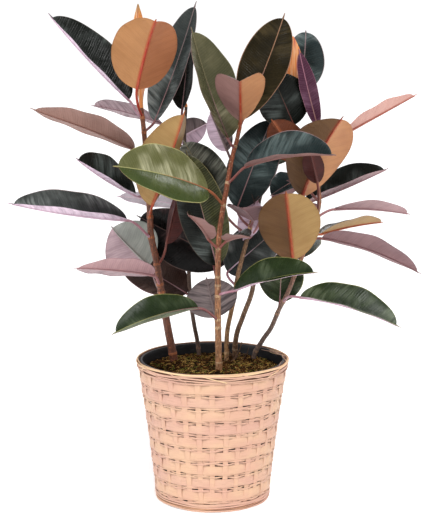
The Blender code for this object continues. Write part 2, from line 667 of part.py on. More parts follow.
def main():
    clear_scene()
    basket_wall()
    basket_rim()
    basket_foot()
    nursery_pot()
    cutters = {name: stem_cutter(name) for name in STEMS}
    soil(cutters.values())
    moss(cutters.values())
    for name in STEMS:
        stem(name)
    for leaf in LEAVES:
        build_leaf(leaf, cutters)


main()
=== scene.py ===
"""The looks of a potted rubber plant in a woven bamboo basket.

Metres, +Z up. The origin is the middle of the basket's flat underside. The plant is seen from -Y.
"""

import json
import math
import random
from dataclasses import dataclass

import bmesh
import bpy
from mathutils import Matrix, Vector


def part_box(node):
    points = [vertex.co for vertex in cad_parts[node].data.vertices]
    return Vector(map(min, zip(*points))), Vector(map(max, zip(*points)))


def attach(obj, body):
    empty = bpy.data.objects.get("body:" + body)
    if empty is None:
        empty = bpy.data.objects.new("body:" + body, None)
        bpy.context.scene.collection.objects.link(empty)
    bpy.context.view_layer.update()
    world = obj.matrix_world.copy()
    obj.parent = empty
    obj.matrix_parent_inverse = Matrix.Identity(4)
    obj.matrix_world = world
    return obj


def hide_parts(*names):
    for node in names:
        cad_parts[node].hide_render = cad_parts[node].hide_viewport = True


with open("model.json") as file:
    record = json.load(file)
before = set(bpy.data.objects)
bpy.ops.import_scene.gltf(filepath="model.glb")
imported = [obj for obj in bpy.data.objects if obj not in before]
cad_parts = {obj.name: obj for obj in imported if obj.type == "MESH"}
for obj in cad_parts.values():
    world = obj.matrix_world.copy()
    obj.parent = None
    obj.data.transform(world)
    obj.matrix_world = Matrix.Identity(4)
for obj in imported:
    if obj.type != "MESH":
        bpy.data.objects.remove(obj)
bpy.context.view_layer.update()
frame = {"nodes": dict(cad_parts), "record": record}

# Driving dimensions of the basket and the pot, as in the frame.
BASKET_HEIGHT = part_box("basket_rim")[1].z
BASKET_TOP_RADIUS = 0.1435
BASKET_BOTTOM_RADIUS = 0.108
BASKET_WAIST = 0.0022
FOOT_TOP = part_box("basket_foot")[1].z
RIM_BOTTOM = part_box("basket_rim")[0].z
POT_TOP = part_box("nursery_pot")[1].z
POT_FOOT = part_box("nursery_pot")[0].z
POT_TOP_RADIUS = 0.1345
POT_BOTTOM_RADIUS = 0.098
POT_LIP_RADIUS = 0.1375
POT_WALL = 0.002
SOIL_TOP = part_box("soil")[1].z
MOSS_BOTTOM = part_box("moss")[0].z
MOSS_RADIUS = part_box("moss")[1].x

# The weave: stakes stand upright, broad bands pass over and under them, thin splints fill between bands.
STAKES = 32
STAKE_WIDTH = 0.0115
STAKE_THICKNESS = 0.0006
BANDS = 9
BAND_WIDTH = 0.0182
BAND_THICKNESS = 0.0009
BAND_SWING = 0.0006
SPLINTS_BETWEEN = 2
SPLINT_WIDTH = 0.0035
SPLINT_THICKNESS = 0.0012
SPLINT_SWING = 0.0009
WEAVE_INSET = 0.0016
WEAVE_STEPS = 384

# Driving dimensions of the plant.
ROOT_END = 0.175
STEM_SIDES = 20
STEM_STEP = 0.0025
SCAR_SPACING = 0.024
SCAR_SWELL = 0.12
SCAR_HALF_LENGTH = 0.0027
BUD_LENGTH = 2.4
YOUNG_LEAF_THICKNESS = 0.0045
YOUNG_LEAF_SKEW = 1.3
BLADE_THICKNESS = 0.0009
MARGIN_THICKNESS = 0.0006
PETIOLE_RADIUS = 0.0024
MIDRIB_RADIUS = 0.0025
MIDRIB_TIP_RADIUS = 0.0003
HALF_ARCH = 0.22
DRIP_START = 0.95
DRIP_HALF_WIDTH = 0.0018
DRIP_END = 1.03
BLADE_FULLNESS = 0.54
BLADE_STEPS = 46
DRIP_STEPS = 7
HALF_COLUMNS = 12
CREASE_ROUNDING = 0.03
MARGIN_WAVE = 0.0013

# Each stem: the radius at the soil and at the top, and the points its axis passes.
STEMS = {
    "left": (0.0085, 0.0042, (
        (-0.072, 0.050, 0.175), (-0.074, 0.050, 0.245), (-0.085, 0.045, 0.310), (-0.098, 0.040, 0.390),
        (-0.107, 0.035, 0.450), (-0.116, 0.035, 0.494), (-0.118, 0.030, 0.540), (-0.122, 0.025, 0.620),
        (-0.127, 0.020, 0.690), (-0.132, 0.022, 0.735),
    )),
    "back": (0.0045, 0.0030, (
        (-0.024, 0.090, 0.175), (-0.026, 0.092, 0.245), (-0.030, 0.095, 0.280), (-0.035, 0.090, 0.307),
        (-0.040, 0.090, 0.340), (-0.044, 0.085, 0.381), (-0.046, 0.085, 0.425), (-0.048, 0.085, 0.490),
        (-0.050, 0.085, 0.576), (-0.053, 0.080, 0.680), (-0.050, 0.080, 0.735),
    )),
    "middle": (0.0070, 0.0036, (
        (0.012, -0.030, 0.175), (0.012, -0.030, 0.244), (0.010, -0.030, 0.353), (0.010, -0.030, 0.440),
        (0.012, -0.030, 0.500), (0.017, -0.030, 0.540), (0.023, -0.030, 0.575), (0.028, -0.030, 0.604),
        (0.034, -0.025, 0.637), (0.039, -0.025, 0.660), (0.045, -0.020, 0.680), (0.052, -0.020, 0.715),
    )),
    "inner": (0.0050, 0.0038, (
        (0.026, 0.048, 0.175), (0.027, 0.048, 0.245), (0.028, 0.045, 0.304), (0.036, 0.035, 0.350),
        (0.041, 0.028, 0.375), (0.048, 0.020, 0.422), (0.061, 0.012, 0.476), (0.073, 0.010, 0.525),
    )),
    "branch": (0.0055, 0.0034, (
        (0.042, 0.080, 0.175), (0.043, 0.080, 0.250), (0.047, 0.074, 0.296), (0.060, 0.070, 0.335),
        (0.078, 0.070, 0.390), (0.085, 0.070, 0.480), (0.088, 0.070, 0.550), (0.096, 0.070, 0.580),
        (0.106, 0.070, 0.612), (0.128, 0.065, 0.654), (0.141, 0.060, 0.700), (0.146, 0.056, 0.742),
    )),
    "right": (0.0052, 0.0032, (
        (0.076, 0.068, 0.175), (0.079, 0.068, 0.248), (0.096, 0.065, 0.285), (0.113, 0.060, 0.312),
        (0.128, 0.052, 0.350), (0.143, 0.050, 0.380), (0.157, 0.045, 0.418), (0.175, 0.040, 0.466),
        (0.190, 0.035, 0.505), (0.198, 0.030, 0.540), (0.201, 0.030, 0.565), (0.196, 0.030, 0.605),
    )),
}

# The young leaf that ends a stem, still rolled up: its tip and its width. The other stems end in a small bud.
YOUNG_LEAVES = {
    "left": ((-0.136, 0.014, 0.927), 0.032),
    "branch": ((0.150, 0.055, 0.868), 0.040),
}


@dataclass
class Leaf:
    """A blade from its neck to its tip. node is the height at which its stalk leaves the stem, face is the
    way its upper side looks, fold raises each half, bow arches the midrib, and curl bends its end back over
    the upper side. The three are in degrees. A lower skew puts the widest place nearer the stalk."""

    name: str
    stem: str
    node: float
    neck: tuple
    tip: tuple
    width: float
    face: tuple
    fold: float = 12
    bow: float = 18
    curl: float = 0
    top: str = "dark"
    under: str = "mauve"
    skew: float = 0.93


LEAVES = (
    Leaf("leaf_left_round", "left", 0.718, (-0.138, -0.010, 0.770), (-0.097, -0.120, 0.893), 0.130,
         (0, 0.7, 0.7), 26, 40, 0, "dark", "orange/amber", 0.74),
    Leaf("leaf_left_high", "left", 0.715, (-0.155, 0.030, 0.750), (-0.303, 0.040, 0.908), 0.110,
         (0.61, -0.46, 0.61), 36, -10, 0, "dark", "lilac"),
    Leaf("leaf_left_upright", "left", 0.690, (-0.108, 0.048, 0.710), (-0.030, 0.068, 0.931), 0.086,
         (-0.6, -0.75, 0.15), 24, -10, 0, "slate", "mauve"),
    Leaf("leaf_left_far", "back", 0.655, (-0.094, 0.072, 0.703), (-0.236, 0.150, 0.735), 0.072,
         (0.1, 0.50, 0.85), 10, 12, 0, "dark", "dusk"),
    Leaf("leaf_left_brown", "left", 0.640, (-0.145, 0.000, 0.660), (-0.328, -0.050, 0.738), 0.105,
         (0.3, 0.45, 0.85), 12, 14, 10, "dark", "fawn"),
    Leaf("leaf_left_pointing", "left", 0.560, (-0.143, 0.012, 0.574), (-0.243, -0.090, 0.651), 0.095,
         (0.3, -0.5, 0.8), 32, -14, 0, "dark", "lilac"),
    Leaf("leaf_left_rising", "left", 0.530, (-0.112, -0.008, 0.556), (-0.049, -0.060, 0.734), 0.115,
         (-0.64, 0.77, 0.2), 36, -8, 0, "dark", "tan"),
    Leaf("leaf_left_long", "left", 0.490, (-0.159, 0.000, 0.529), (-0.370, -0.060, 0.567), 0.108,
         (0, -0.3, 0.95), 34, -10, 0, "slate", "lilac"),
    Leaf("leaf_left_lilac", "left", 0.385, (-0.122, 0.058, 0.433), (-0.194, 0.078, 0.507), 0.118,
         (0.1, 0.98, 0.15), 8, -10, 30, "teal", "sage/dusk"),
    Leaf("leaf_left_beige", "left", 0.400, (-0.112, 0.008, 0.424), (-0.247, -0.110, 0.456), 0.086,
         (0, 0.6, 0.8), 10, 8, 0, "dark", "blush/dusk"),
    Leaf("leaf_left_maroon", "left", 0.440, (-0.086, 0.022, 0.481), (-0.044, 0.055, 0.640), 0.064,
         (0.64, 0.77, 0.1), 34, -6, 0, "dark", "maroon"),
    Leaf("leaf_middle_green", "middle", 0.560, (-0.008, -0.070, 0.592), (-0.171, -0.170, 0.643), 0.124,
         (-0.1, -0.75, 0.65), 10, 24, 0, "leafy/gold", "rust"),
    Leaf("leaf_middle_heart", "middle", 0.695, (0.051, -0.045, 0.714), (0.046, -0.190, 0.788), 0.102,
         (0, 0.5, 0.85), 30, 50, 0, "dark", "peach/rose"),
    Leaf("leaf_middle_tall", "middle", 0.665, (0.028, -0.038, 0.683), (-0.039, -0.020, 0.882), 0.122,
         (0.8, -0.6, 0.1), 24, -10, 0, "olive", "mauve"),
    Leaf("leaf_middle_tip", "middle", 0.700, (0.056, 0.000, 0.715), (0.133, 0.030, 0.908), 0.100,
         (-0.4, -0.88, 0.2), 14, -18, 0, "bronze", "rose", 1.2),
    Leaf("leaf_middle_teal", "middle", 0.600, (0.061, -0.050, 0.633), (0.217, -0.120, 0.658), 0.100,
         (0, -0.5, 0.87), 36, 26, 0, "teal", "rose"),
    Leaf("leaf_middle_veined", "middle", 0.425, (0.008, -0.008, 0.445), (-0.049, 0.000, 0.659), 0.090,
         (0, -1, 0.1), 8, 8, 0, "dark/ribbed", "mauve"),
    Leaf("leaf_inner_shiny", "inner", 0.498, (0.014, 0.010, 0.553), (-0.055, 0.026, 0.676), 0.090,
         (0.1, -0.95, 0.3), 12, 12, 0, "shiny", "mauve"),
    Leaf("leaf_inner_teal", "inner", 0.512, (0.047, 0.030, 0.549), (0.113, 0.060, 0.717), 0.095,
         (-0.1, -0.95, 0.3), 12, 10, 0, "teal", "mauve"),
    Leaf("leaf_middle_slope", "middle", 0.410, (0.000, 0.030, 0.452), (-0.030, 0.064, 0.629), 0.090,
         (-0.2, -0.95, 0.1), 10, 8, 0, "bronze", "mauve"),
    Leaf("leaf_middle_pink_left", "middle", 0.480, (-0.007, -0.050, 0.500), (-0.043, -0.170, 0.560), 0.052,
         (0.5, 0.2, 0.8), 24, 12, 0, "dark", "rose"),
    Leaf("leaf_middle_pink_right", "middle", 0.478, (0.026, -0.050, 0.497), (0.066, -0.160, 0.519), 0.048,
         (-0.3, 0.3, 0.9), 26, 12, 0, "dark", "rose"),
    Leaf("leaf_middle_low", "middle", 0.345, (-0.026, -0.070, 0.376), (-0.178, -0.150, 0.343), 0.076,
         (0, -0.5, 0.85), 34, 32, 0, "silver/green", "mauve"),
    Leaf("leaf_middle_streaked", "middle", 0.330, (0.006, -0.004, 0.345), (-0.012, -0.004, 0.422), 0.098,
         (0, 1, 0.1), 6, -6, 0, "slate", "smoke"),
    Leaf("leaf_middle_front", "middle", 0.390, (0.040, -0.050, 0.405), (0.188, -0.110, 0.448), 0.086,
         (-0.05, -0.45, 0.9), 30, 22, 0, "green", "lilac"),
    Leaf("leaf_branch_wide", "branch", 0.420, (0.028, 0.058, 0.443), (-0.147, 0.102, 0.525), 0.110,
         (-0.2, -1, 0.05), 10, 16, 0, "dusky", "maroon"),
    Leaf("leaf_back_low", "back", 0.372, (-0.050, 0.078, 0.376), (-0.183, 0.190, 0.430), 0.095,
         (0, -0.8, 0.6), 12, 14, 0, "maroon", "mauve"),
    Leaf("leaf_back_narrow", "back", 0.705, (-0.058, 0.085, 0.730), (-0.046, 0.115, 0.862), 0.060,
         (-0.6, -0.8, 0), 24, -6, 0, "dark", "mauve"),
    Leaf("leaf_back_spread", "back", 0.580, (-0.058, 0.140, 0.605), (-0.100, 0.300, 0.630), 0.100,
         (0, -0.2, 1), 12, 24, 0, "green", "mauve"),
    Leaf("leaf_inner_slate", "inner", 0.400, (0.029, 0.038, 0.425), (0.126, 0.055, 0.507), 0.095,
         (-0.3, -0.9, 0.3), 8, 8, 0, "slate", "lilac"),
    Leaf("leaf_inner_mauve", "inner", 0.515, (0.074, -0.020, 0.530), (0.050, -0.115, 0.565), 0.080,
         (0.2, 0.6, 0.75), 16, 14, 0, "dark", "mauve"),
    Leaf("leaf_right_teal", "right", 0.560, (0.158, 0.034, 0.601), (0.107, 0.000, 0.574), 0.056,
         (0.2, -0.5, 0.85), 34, 14, 0, "teal", "rose"),
    Leaf("leaf_right_brown", "right", 0.590, (0.160, 0.012, 0.640), (0.108, 0.008, 0.715), 0.070,
         (0, 1, 0.2), 12, 0, 0, "dark", "rust"),
    Leaf("leaf_branch_round", "branch", 0.725, (0.170, 0.090, 0.764), (0.177, 0.105, 0.878), 0.078,
         (0, -1, 0.1), 8, -10, -60, "teal", "mauve"),
    Leaf("leaf_branch_purple", "branch", 0.672, (0.196, 0.036, 0.700), (0.159, 0.026, 0.843), 0.036,
         (0.3, -0.9, 0), 16, -10, 0, "plum", "rose"),
    Leaf("leaf_branch_black", "branch", 0.690, (0.152, 0.040, 0.702), (0.107, 0.036, 0.802), 0.100,
         (0.1, -0.95, 0.2), 6, 10, 0, "dark", "maroon"),
    Leaf("leaf_branch_spread", "branch", 0.590, (0.120, 0.130, 0.620), (0.170, 0.310, 0.660), 0.100,
         (0, -0.2, 1), 12, 24, 0, "green", "mauve"),
    Leaf("leaf_right_round", "right", 0.430, (0.147, -0.050, 0.462), (0.128, -0.140, 0.597), 0.114,
         (0, 0.8, 0.6), 10, 30, 0, "dark", "tan/brown"),
    Leaf("leaf_right_folded", "right", 0.550, (0.179, 0.085, 0.551), (0.333, 0.060, 0.620), 0.098,
         (0, -0.3, 0.95), 34, -6, 0, "dark", "blush"),
    Leaf("leaf_right_mauve", "right", 0.530, (0.231, 0.040, 0.545), (0.379, 0.080, 0.530), 0.085,
         (0, 0.25, 0.97), 14, 14, 0, "dark", "blush"),
    Leaf("leaf_right_level", "right", 0.490, (0.206, 0.050, 0.496), (0.337, 0.150, 0.506), 0.066,
         (0, 0.3, 0.95), 26, 10, 0, "bronze", "tan"),
    Leaf("leaf_right_drooping", "right", 0.475, (0.204, 0.000, 0.495), (0.385, -0.040, 0.433), 0.095,
         (-0.2, 0.45, 0.85), 14, 24, 0, "dark", "mauve"),
    Leaf("leaf_right_low", "right", 0.365, (0.163, -0.020, 0.387), (0.343, -0.080, 0.341), 0.092,
         (0.1, -0.4, 0.9), 34, 24, 0, "green/silver", "lilac"),
    Leaf("leaf_right_bright", "right", 0.340, (0.130, 0.075, 0.359), (0.137, 0.130, 0.450), 0.090,
         (0, -0.9, 0.4), 12, 10, 0, "green", "mauve"),
    Leaf("leaf_right_spread", "right", 0.430, (0.165, 0.100, 0.440), (0.172, 0.265, 0.455), 0.100,
         (0, -0.2, 1), 12, 26, 0, "green", "mauve"),
    Leaf("leaf_right_maroon", "right", 0.505, (0.191, -0.040, 0.601), (0.174, -0.050, 0.668), 0.040,
         (0, 1, 0.1), 14, -6, 0, "dark", "maroon"),
    Leaf("leaf_right_tan", "right", 0.545, (0.166, -0.003, 0.573), (0.233, -0.075, 0.724), 0.126,
         (-0.25, 0.8, 0.5), 12, 30, 0, "dark", "peach/brown", 1.15),
    Leaf("leaf_right_salmon", "right", 0.595, (0.243, 0.010, 0.688), (0.379, 0.030, 0.760), 0.085,
         (-0.45, 0.2, 0.85), 20, 0, 0, "dark", "salmon"),
)

# Small pale leaves that show between the large ones. The frame leaves them out.
SMALL_LEAVES = (
    Leaf("leaf_pale_upper", "middle", 0.640, (0.027, -0.010, 0.658), (-0.005, 0.010, 0.728), 0.044,
         (0.1, 1, 0.1), 10, 8, 0, "dark", "smoke/lilac"),
    Leaf("leaf_pale_back", "back", 0.640, (-0.066, 0.100, 0.672), (-0.009, 0.130, 0.702), 0.054,
         (0, 0.98, 0.2), 10, 8, 0, "dark", "lilac/smoke"),
    Leaf("leaf_pale_far", "back", 0.560, (-0.066, 0.078, 0.548), (-0.182, 0.068, 0.566), 0.040,
         (0, -0.6, 0.8), 10, 8, 0, "pale", "lilac"),
    Leaf("leaf_pale_hanging", "inner", 0.500, (0.082, 0.028, 0.561), (0.057, 0.004, 0.489), 0.046,
         (0.2, 1, 0.1), 8, 6, 0, "dark", "lilac"),
    Leaf("leaf_pale_low", "inner", 0.492, (0.111, 0.020, 0.566), (0.166, 0.030, 0.599), 0.036,
         (-0.3, 0.9, 0.3), 10, 6, 0, "dark", "blush"),
)

def srgb(red, green, blue):
    """A colour as seen, each part from 0 to 255, turned into the linear values that a shader takes."""
    linear = []
    for part in (red, green, blue):
        share = part / 255
        linear.append(share / 12.92 if share <= 0.04045 else ((share + 0.055) / 1.055) ** 2.4)
    return (*linear, 1)


class Shader:
    """A material and short ways to add nodes to it."""

    def __init__(self, name, roughness=0.5, specular=0.5):
        self.material = bpy.data.materials.new(name)
        self.material.use_nodes = True
        self.tree = self.material.node_tree
        self.surface = self.tree.nodes["Principled BSDF"]
        self.set("Roughness", roughness)
        self.set("Specular IOR Level", specular)

    def set(self, socket, value):
        if isinstance(value, bpy.types.NodeSocket):
            self.tree.links.new(value, self.surface.inputs[socket])
        else:
            self.surface.inputs[socket].default_value = value

    def node(self, kind, **settings):
        made = self.tree.nodes.new(kind)
        for key, value in settings.items():
            setattr(made, key, value)
        return made

    def feed(self, socket, value):
        if isinstance(value, bpy.types.NodeSocket):
            self.tree.links.new(value, socket)
        else:
            socket.default_value = value

    def maths(self, operation, first, second=0.0):
        made = self.node("ShaderNodeMath", operation=operation)
        self.feed(made.inputs[0], first)
        self.feed(made.inputs[1], second)
        return made.outputs[0]

    def uv(self, layer):
        """The two parts of a UV layer, and the whole."""
        made = self.node("ShaderNodeUVMap", uv_map=layer)
        parts = self.node("ShaderNodeSeparateXYZ")
        self.feed(parts.inputs[0], made.outputs[0])
        return parts.outputs[0], parts.outputs[1], made.outputs[0]

    def place(self):
        """Where a point is on the object, in metres."""
        return self.node("ShaderNodeTexCoord").outputs["Object"]

    def height(self):
        parts = self.node("ShaderNodeSeparateXYZ")
        self.feed(parts.inputs[0], self.place())
        return parts.outputs[2]

    def join(self, x, y):
        made = self.node("ShaderNodeCombineXYZ")
        self.feed(made.inputs[0], x)
        self.feed(made.inputs[1], y)
        return made.outputs[0]

    def stretch(self, vector, scale):
        made = self.node("ShaderNodeMapping")
        self.feed(made.inputs["Vector"], vector)
        made.inputs["Scale"].default_value = scale
        return made.outputs[0]

    def noise(self, vector, scale, detail=3.0, rough=0.5):
        made = self.node("ShaderNodeTexNoise")
        self.feed(made.inputs["Vector"], vector)
        made.inputs["Scale"].default_value = scale
        made.inputs["Detail"].default_value = detail
        made.inputs["Roughness"].default_value = rough
        return made.outputs[0]

    def between(self, value, low, high, to_low=0.0, to_high=1.0):
        """value, smoothly carried from low..high to to_low..to_high."""
        made = self.node("ShaderNodeMapRange", interpolation_type="SMOOTHSTEP")
        self.feed(made.inputs[0], value)
        for i, number in enumerate((low, high, to_low, to_high)):
            made.inputs[1 + i].default_value = number
        return made.outputs[0]

    def mix(self, share, first, second):
        made = self.node("ShaderNodeMix", data_type="RGBA")
        self.feed(made.inputs[0], share)
        self.feed(made.inputs[6], first)
        self.feed(made.inputs[7], second)
        return made.outputs[2]

    def bump(self, height, distance, after=None):
        made = self.node("ShaderNodeBump")
        self.feed(made.inputs["Height"], height)
        made.inputs["Distance"].default_value = distance
        if after is not None:
            self.feed(made.inputs["Normal"], after)
        return made.outputs[0]


class Piece:
    """Collects the points, faces, materials and UV coordinates of one piece."""

    def __init__(self, name, materials):
        self.name = name
        self.materials = materials
        self.points = []
        self.faces = []
        self.slots = []
        self.uvs = []

    def grid(self, rows, slot=0, uv=None, close_across=False, close_along=False):
        """Faces between rows of points. slot and uv may be functions of the row and the column."""
        start, count = len(self.points), len(rows[0])
        for row in rows:
            self.points.extend(row)
        for i in range(len(rows) - (0 if close_along else 1)):
            for j in range(count - (0 if close_across else 1)):
                corners = ((i, j), (i, j + 1), (i + 1, j + 1), (i + 1, j))
                self.faces.append([start + a % len(rows) * count + b % count for a, b in corners])
                self.slots.append(slot(i, j) if callable(slot) else slot)
                self.uvs.extend(uv(a, b) if uv else (0, 0, 0, 0) for a, b in corners)
        return start, count

    def cap(self, start, count, slot=0, uv=(0, 0, 0, 0)):
        self.faces.append(list(range(start, start + count)))
        self.slots.append(slot)
        self.uvs.extend([uv] * count)

    def tube(self, rows, slot=0, uv=None):
        """A closed tube: rings of points with a flat cap at each end."""
        start, count = self.grid(rows, slot, uv, close_across=True)
        self.cap(start, count, slot(0, 0) if callable(slot) else slot)
        self.cap(start + (len(rows) - 1) * count, count, slot(len(rows) - 1, 0) if callable(slot) else slot)

    def done(self, slot_name, replaced=(), sharp=50):
        mesh = bpy.data.meshes.new(self.name)
        mesh.from_pydata([tuple(p) for p in self.points], [], self.faces)
        for each in self.materials:
            mesh.materials.append(each)
        mesh.polygons.foreach_set("material_index", self.slots)
        for k, layer in enumerate(("share", "real")):
            coordinates = mesh.uv_layers.new(name=layer).data
            flat = [number for uv in self.uvs for number in uv[2 * k:2 * k + 2]]
            coordinates.foreach_set("uv", flat)
        shape = bmesh.new()
        shape.from_mesh(mesh)
        bmesh.ops.recalc_face_normals(shape, faces=shape.faces)
        shape.to_mesh(mesh)
        shape.free()
        mesh.shade_smooth()
        mesh.set_sharp_from_angle(angle=math.radians(sharp))
        obj = bpy.data.objects.new(self.name, mesh)
        bpy.context.scene.collection.objects.link(obj)
        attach(obj, "root")
        if replaced:
            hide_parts(*replaced)
        return obj


def smooth_path(points, step):
    """Points about a step apart on a Catmull-Rom curve through the given ones, both ends kept."""
    ends = [points[0] * 2 - points[1], *points, points[-1] * 2 - points[-2]]
    path = []
    for before, start, end, after in zip(ends, ends[1:], ends[2:], ends[3:]):
        count = max(1, round((end - start).length / step))
        for i in range(count):
            t = i / count
            path.append(0.5 * (
                2 * start
                + (end - before) * t
                + (2 * before - 5 * start + 4 * end - after) * t**2
                + (3 * start - before - 3 * end + after) * t**3
            ))
    path.append(points[-1])
    return path


def rings_along(path, radius, sides, flatten=1.0):
    """Rings round a path. radius(i) is the size of ring i, and flatten is its depth over its width."""
    rings = []
    start = path[1] - path[0]
    normal = Vector((1, 0, 0)) if abs(start.x) < max(abs(start.y), abs(start.z)) else Vector((0, 0, 1))
    for i, centre in enumerate(path):
        along = (path[min(i + 1, len(path) - 1)] - path[max(i - 1, 0)]).normalized()
        normal = (normal - along * normal.dot(along)).normalized()
        side = along.cross(normal)
        size = radius(i)
        ring = []
        for j in range(sides):
            angle = math.tau * j / sides
            ring.append(centre + (normal * math.cos(angle) + side * math.sin(angle) * flatten) * size)
        rings.append(ring)
    return rings


class Wander:
    """A smooth closed wander round a circle: a few whole waves, each with a random phase."""

    def __init__(self, dice, size, waves=(2, 3, 5, 8)):
        self.parts = [(n, dice.uniform(0, math.tau), size * dice.uniform(0.5, 1) / len(waves)) for n in waves]

    def __call__(self, turn):
        return sum(size * math.sin(math.tau * n * turn + phase) for n, phase, size in self.parts)


# Upper sides of the leaves: the blade, its lighter patches, its margin and its painted sheen, a streaky highlight
# painted into the colour. The gold and silver halves and the pale blade are lighter as painted sheen too.
UPPER_COLOURS = {
    "dark": ((15, 18, 14), (30, 34, 29), (84, 72, 60), (108, 116, 112)),
    "slate": ((44, 49, 47), (80, 85, 83), (150, 128, 126), (158, 164, 160)),
    "teal": ((28, 38, 38), (58, 70, 70), (150, 126, 126), (118, 134, 132)),
    "green": ((30, 42, 22), (52, 66, 36), (160, 158, 96), (112, 124, 96)),
    "gold": ((88, 90, 54), (130, 130, 88), (176, 172, 116), (216, 212, 176)),
    "leafy": ((60, 72, 36), (76, 86, 46), (180, 178, 120), (90, 100, 58)),
    "shiny": ((20, 22, 14), (46, 46, 31), (120, 110, 84), (184, 186, 168)),
    "dusky": ((15, 14, 12), (36, 30, 30), (104, 84, 78), (138, 112, 110)),
    "olive": ((74, 73, 50), (118, 112, 84), (132, 122, 92), (154, 146, 120)),
    "bronze": ((28, 23, 8), (54, 44, 22), (176, 132, 104), (78, 66, 42)),
    "maroon": ((56, 40, 34), (88, 66, 58), (160, 120, 118), (120, 98, 90)),
    "ribbed": ((34, 37, 20), (100, 100, 64), (150, 138, 96), (110, 110, 76)),
    "plum": ((72, 34, 54), (122, 82, 102), (176, 120, 136), (140, 104, 126)),
    "silver": ((112, 120, 98), (150, 156, 136), (176, 172, 130), (186, 192, 170)),
    "pale": ((186, 178, 184), (210, 200, 208), (220, 190, 200), (220, 216, 220)),
}
# Undersides: the blade, its patches, and its midrib. In tan/brown and peach/brown, brown is the painted shaded half; in
# sage/dusk, sage is the painted sheen half.
UNDER_COLOURS = {
    "orange": ((186, 120, 78), (158, 96, 60), (184, 34, 10)),
    "amber": ((188, 134, 86), (160, 108, 66), (184, 34, 10)),
    "tan": ((172, 138, 86), (146, 108, 62), (172, 48, 20)),
    "brown": ((112, 80, 50), (84, 56, 36), (150, 44, 26)),
    "peach": ((204, 146, 102), (176, 118, 84), (168, 42, 18)),
    "rust": ((120, 64, 38), (84, 40, 24), (176, 100, 62)),
    "blush": ((192, 154, 156), (150, 112, 118), (166, 104, 104)),
    "salmon": ((222, 172, 158), (196, 138, 128), (176, 92, 72)),
    "fawn": ((158, 120, 108), (124, 90, 78), (150, 92, 78)),
    "rose": ((156, 118, 112), (122, 88, 84), (140, 70, 60)),
    "mauve": ((150, 116, 118), (112, 82, 86), (134, 74, 70)),
    "lilac": ((230, 206, 222), (176, 150, 168), (172, 112, 122)),
    "smoke": ((140, 126, 124), (56, 48, 50), (110, 78, 76)),
    "dusk": ((190, 164, 168), (106, 78, 86), (140, 82, 80)),
    "sage": ((176, 180, 170), (112, 120, 112), (140, 100, 100)),
    "maroon": ((76, 30, 25), (44, 18, 16), (128, 60, 44)),
}
RED_MIDRIBS = ("orange", "amber", "tan", "brown", "peach", "rust", "salmon")
VEIN_SPACING = 0.0046
VEIN_LEAN = 0.42


def vein_pattern(shader):
    """Fine side veins that run from the midrib to the margin, 1 on a vein and 0 between two, and the uneven
    streaks of the blade between them."""
    signed, along, _ = shader.uv("real")
    across = shader.maths("ABSOLUTE", signed)
    wobble = shader.maths("MULTIPLY", shader.noise(shader.place(), 45.0, 2.0), 0.006)
    line = shader.maths("SUBTRACT", along, shader.maths("MULTIPLY", across, VEIN_LEAN))
    line = shader.maths("ADD", line, wobble)
    wave = shader.maths("SINE", shader.maths("MULTIPLY", line, math.tau / VEIN_SPACING))
    wave = shader.maths("MULTIPLY", shader.maths("ADD", wave, 1.0), 0.5)
    streaks = shader.noise(shader.stretch(shader.join(line, signed), (130, 14, 1)), 1.0, 3.0, 0.6)
    return shader.maths("POWER", wave, 3.0), streaks, across


def halves(shader, table, name):
    """The colours of a leaf's two halves, which differ where the name is a pair such as tan/brown. In tan/brown and
    peach/brown one half is darker as painted shade, and in leafy/gold, silver/green, green/silver and sage/dusk one
    half is lighter as painted sheen, for the light that falls differently on the two halves of a folded leaf.
    """
    names = name.split("/")
    first = [srgb(*colour) for colour in table[names[0]]]
    if len(names) == 1:
        return first
    second = [srgb(*colour) for colour in table[names[1]]]
    far = shader.between(shader.uv("share")[0], -0.02, 0.02)
    return [shader.mix(far, one, other) for one, other in zip(first, second)]


def upper_material(name):
    shader = Shader("leaf_upper_" + name.replace("/", "_"), roughness=0.3, specular=0.16)
    base, light, margin, shine = halves(shader, UPPER_COLOURS, name)
    veins, streaks, across = vein_pattern(shader)
    share = shader.uv("share")[0]
    patches = shader.between(shader.noise(shader.place(), 18.0, 3.0, 0.5), 0.4, 0.7)
    colour = shader.mix(shader.maths("MULTIPLY", patches, 0.4), base, light)
    colour = shader.mix(shader.between(streaks, 0.5, 0.8, 0.0, 0.5), colour, light)
    # Painted sheen: the fourth colour is mixed in streaky patches as a highlight fixed to the leaf.
    sheen = shader.between(shader.noise(shader.stretch(shader.place(), (1, 1, 1.3)), 13.0, 1.0), 0.5, 0.66)
    sheen = shader.maths("MULTIPLY", sheen, shader.between(streaks, 0.32, 0.7, 0.05, 0.62))
    colour = shader.mix(sheen, colour, shine)
    veined = "ribbed" in name
    if veined:
        veins = shader.maths("MULTIPLY", veins, shader.between(streaks, 0.3, 0.6, 0.3, 1.0))
    colour = shader.mix(shader.maths("MULTIPLY", veins, 0.6 if veined else 0.2), colour, light)
    rib = shader.between(across, 0.0004, 0.0014, 0.75, 0.0)
    colour = shader.mix(rib, colour, margin)
    edge = shader.between(shader.maths("ABSOLUTE", share), 0.955, 0.99, 0.0, 0.8)
    colour = shader.mix(edge, colour, margin)
    shader.set("Base Color", colour)
    shader.set("Roughness", shader.between(shader.noise(shader.place(), 60.0, 3.0), 0.3, 0.7, 0.22, 0.36))
    ripple = shader.bump(shader.noise(shader.place(), 30.0, 2.0), 0.0018)
    ripple = shader.bump(streaks, 0.0007, ripple)
    shader.set("Normal", shader.bump(veins, 0.00010, ripple))
    return shader.material


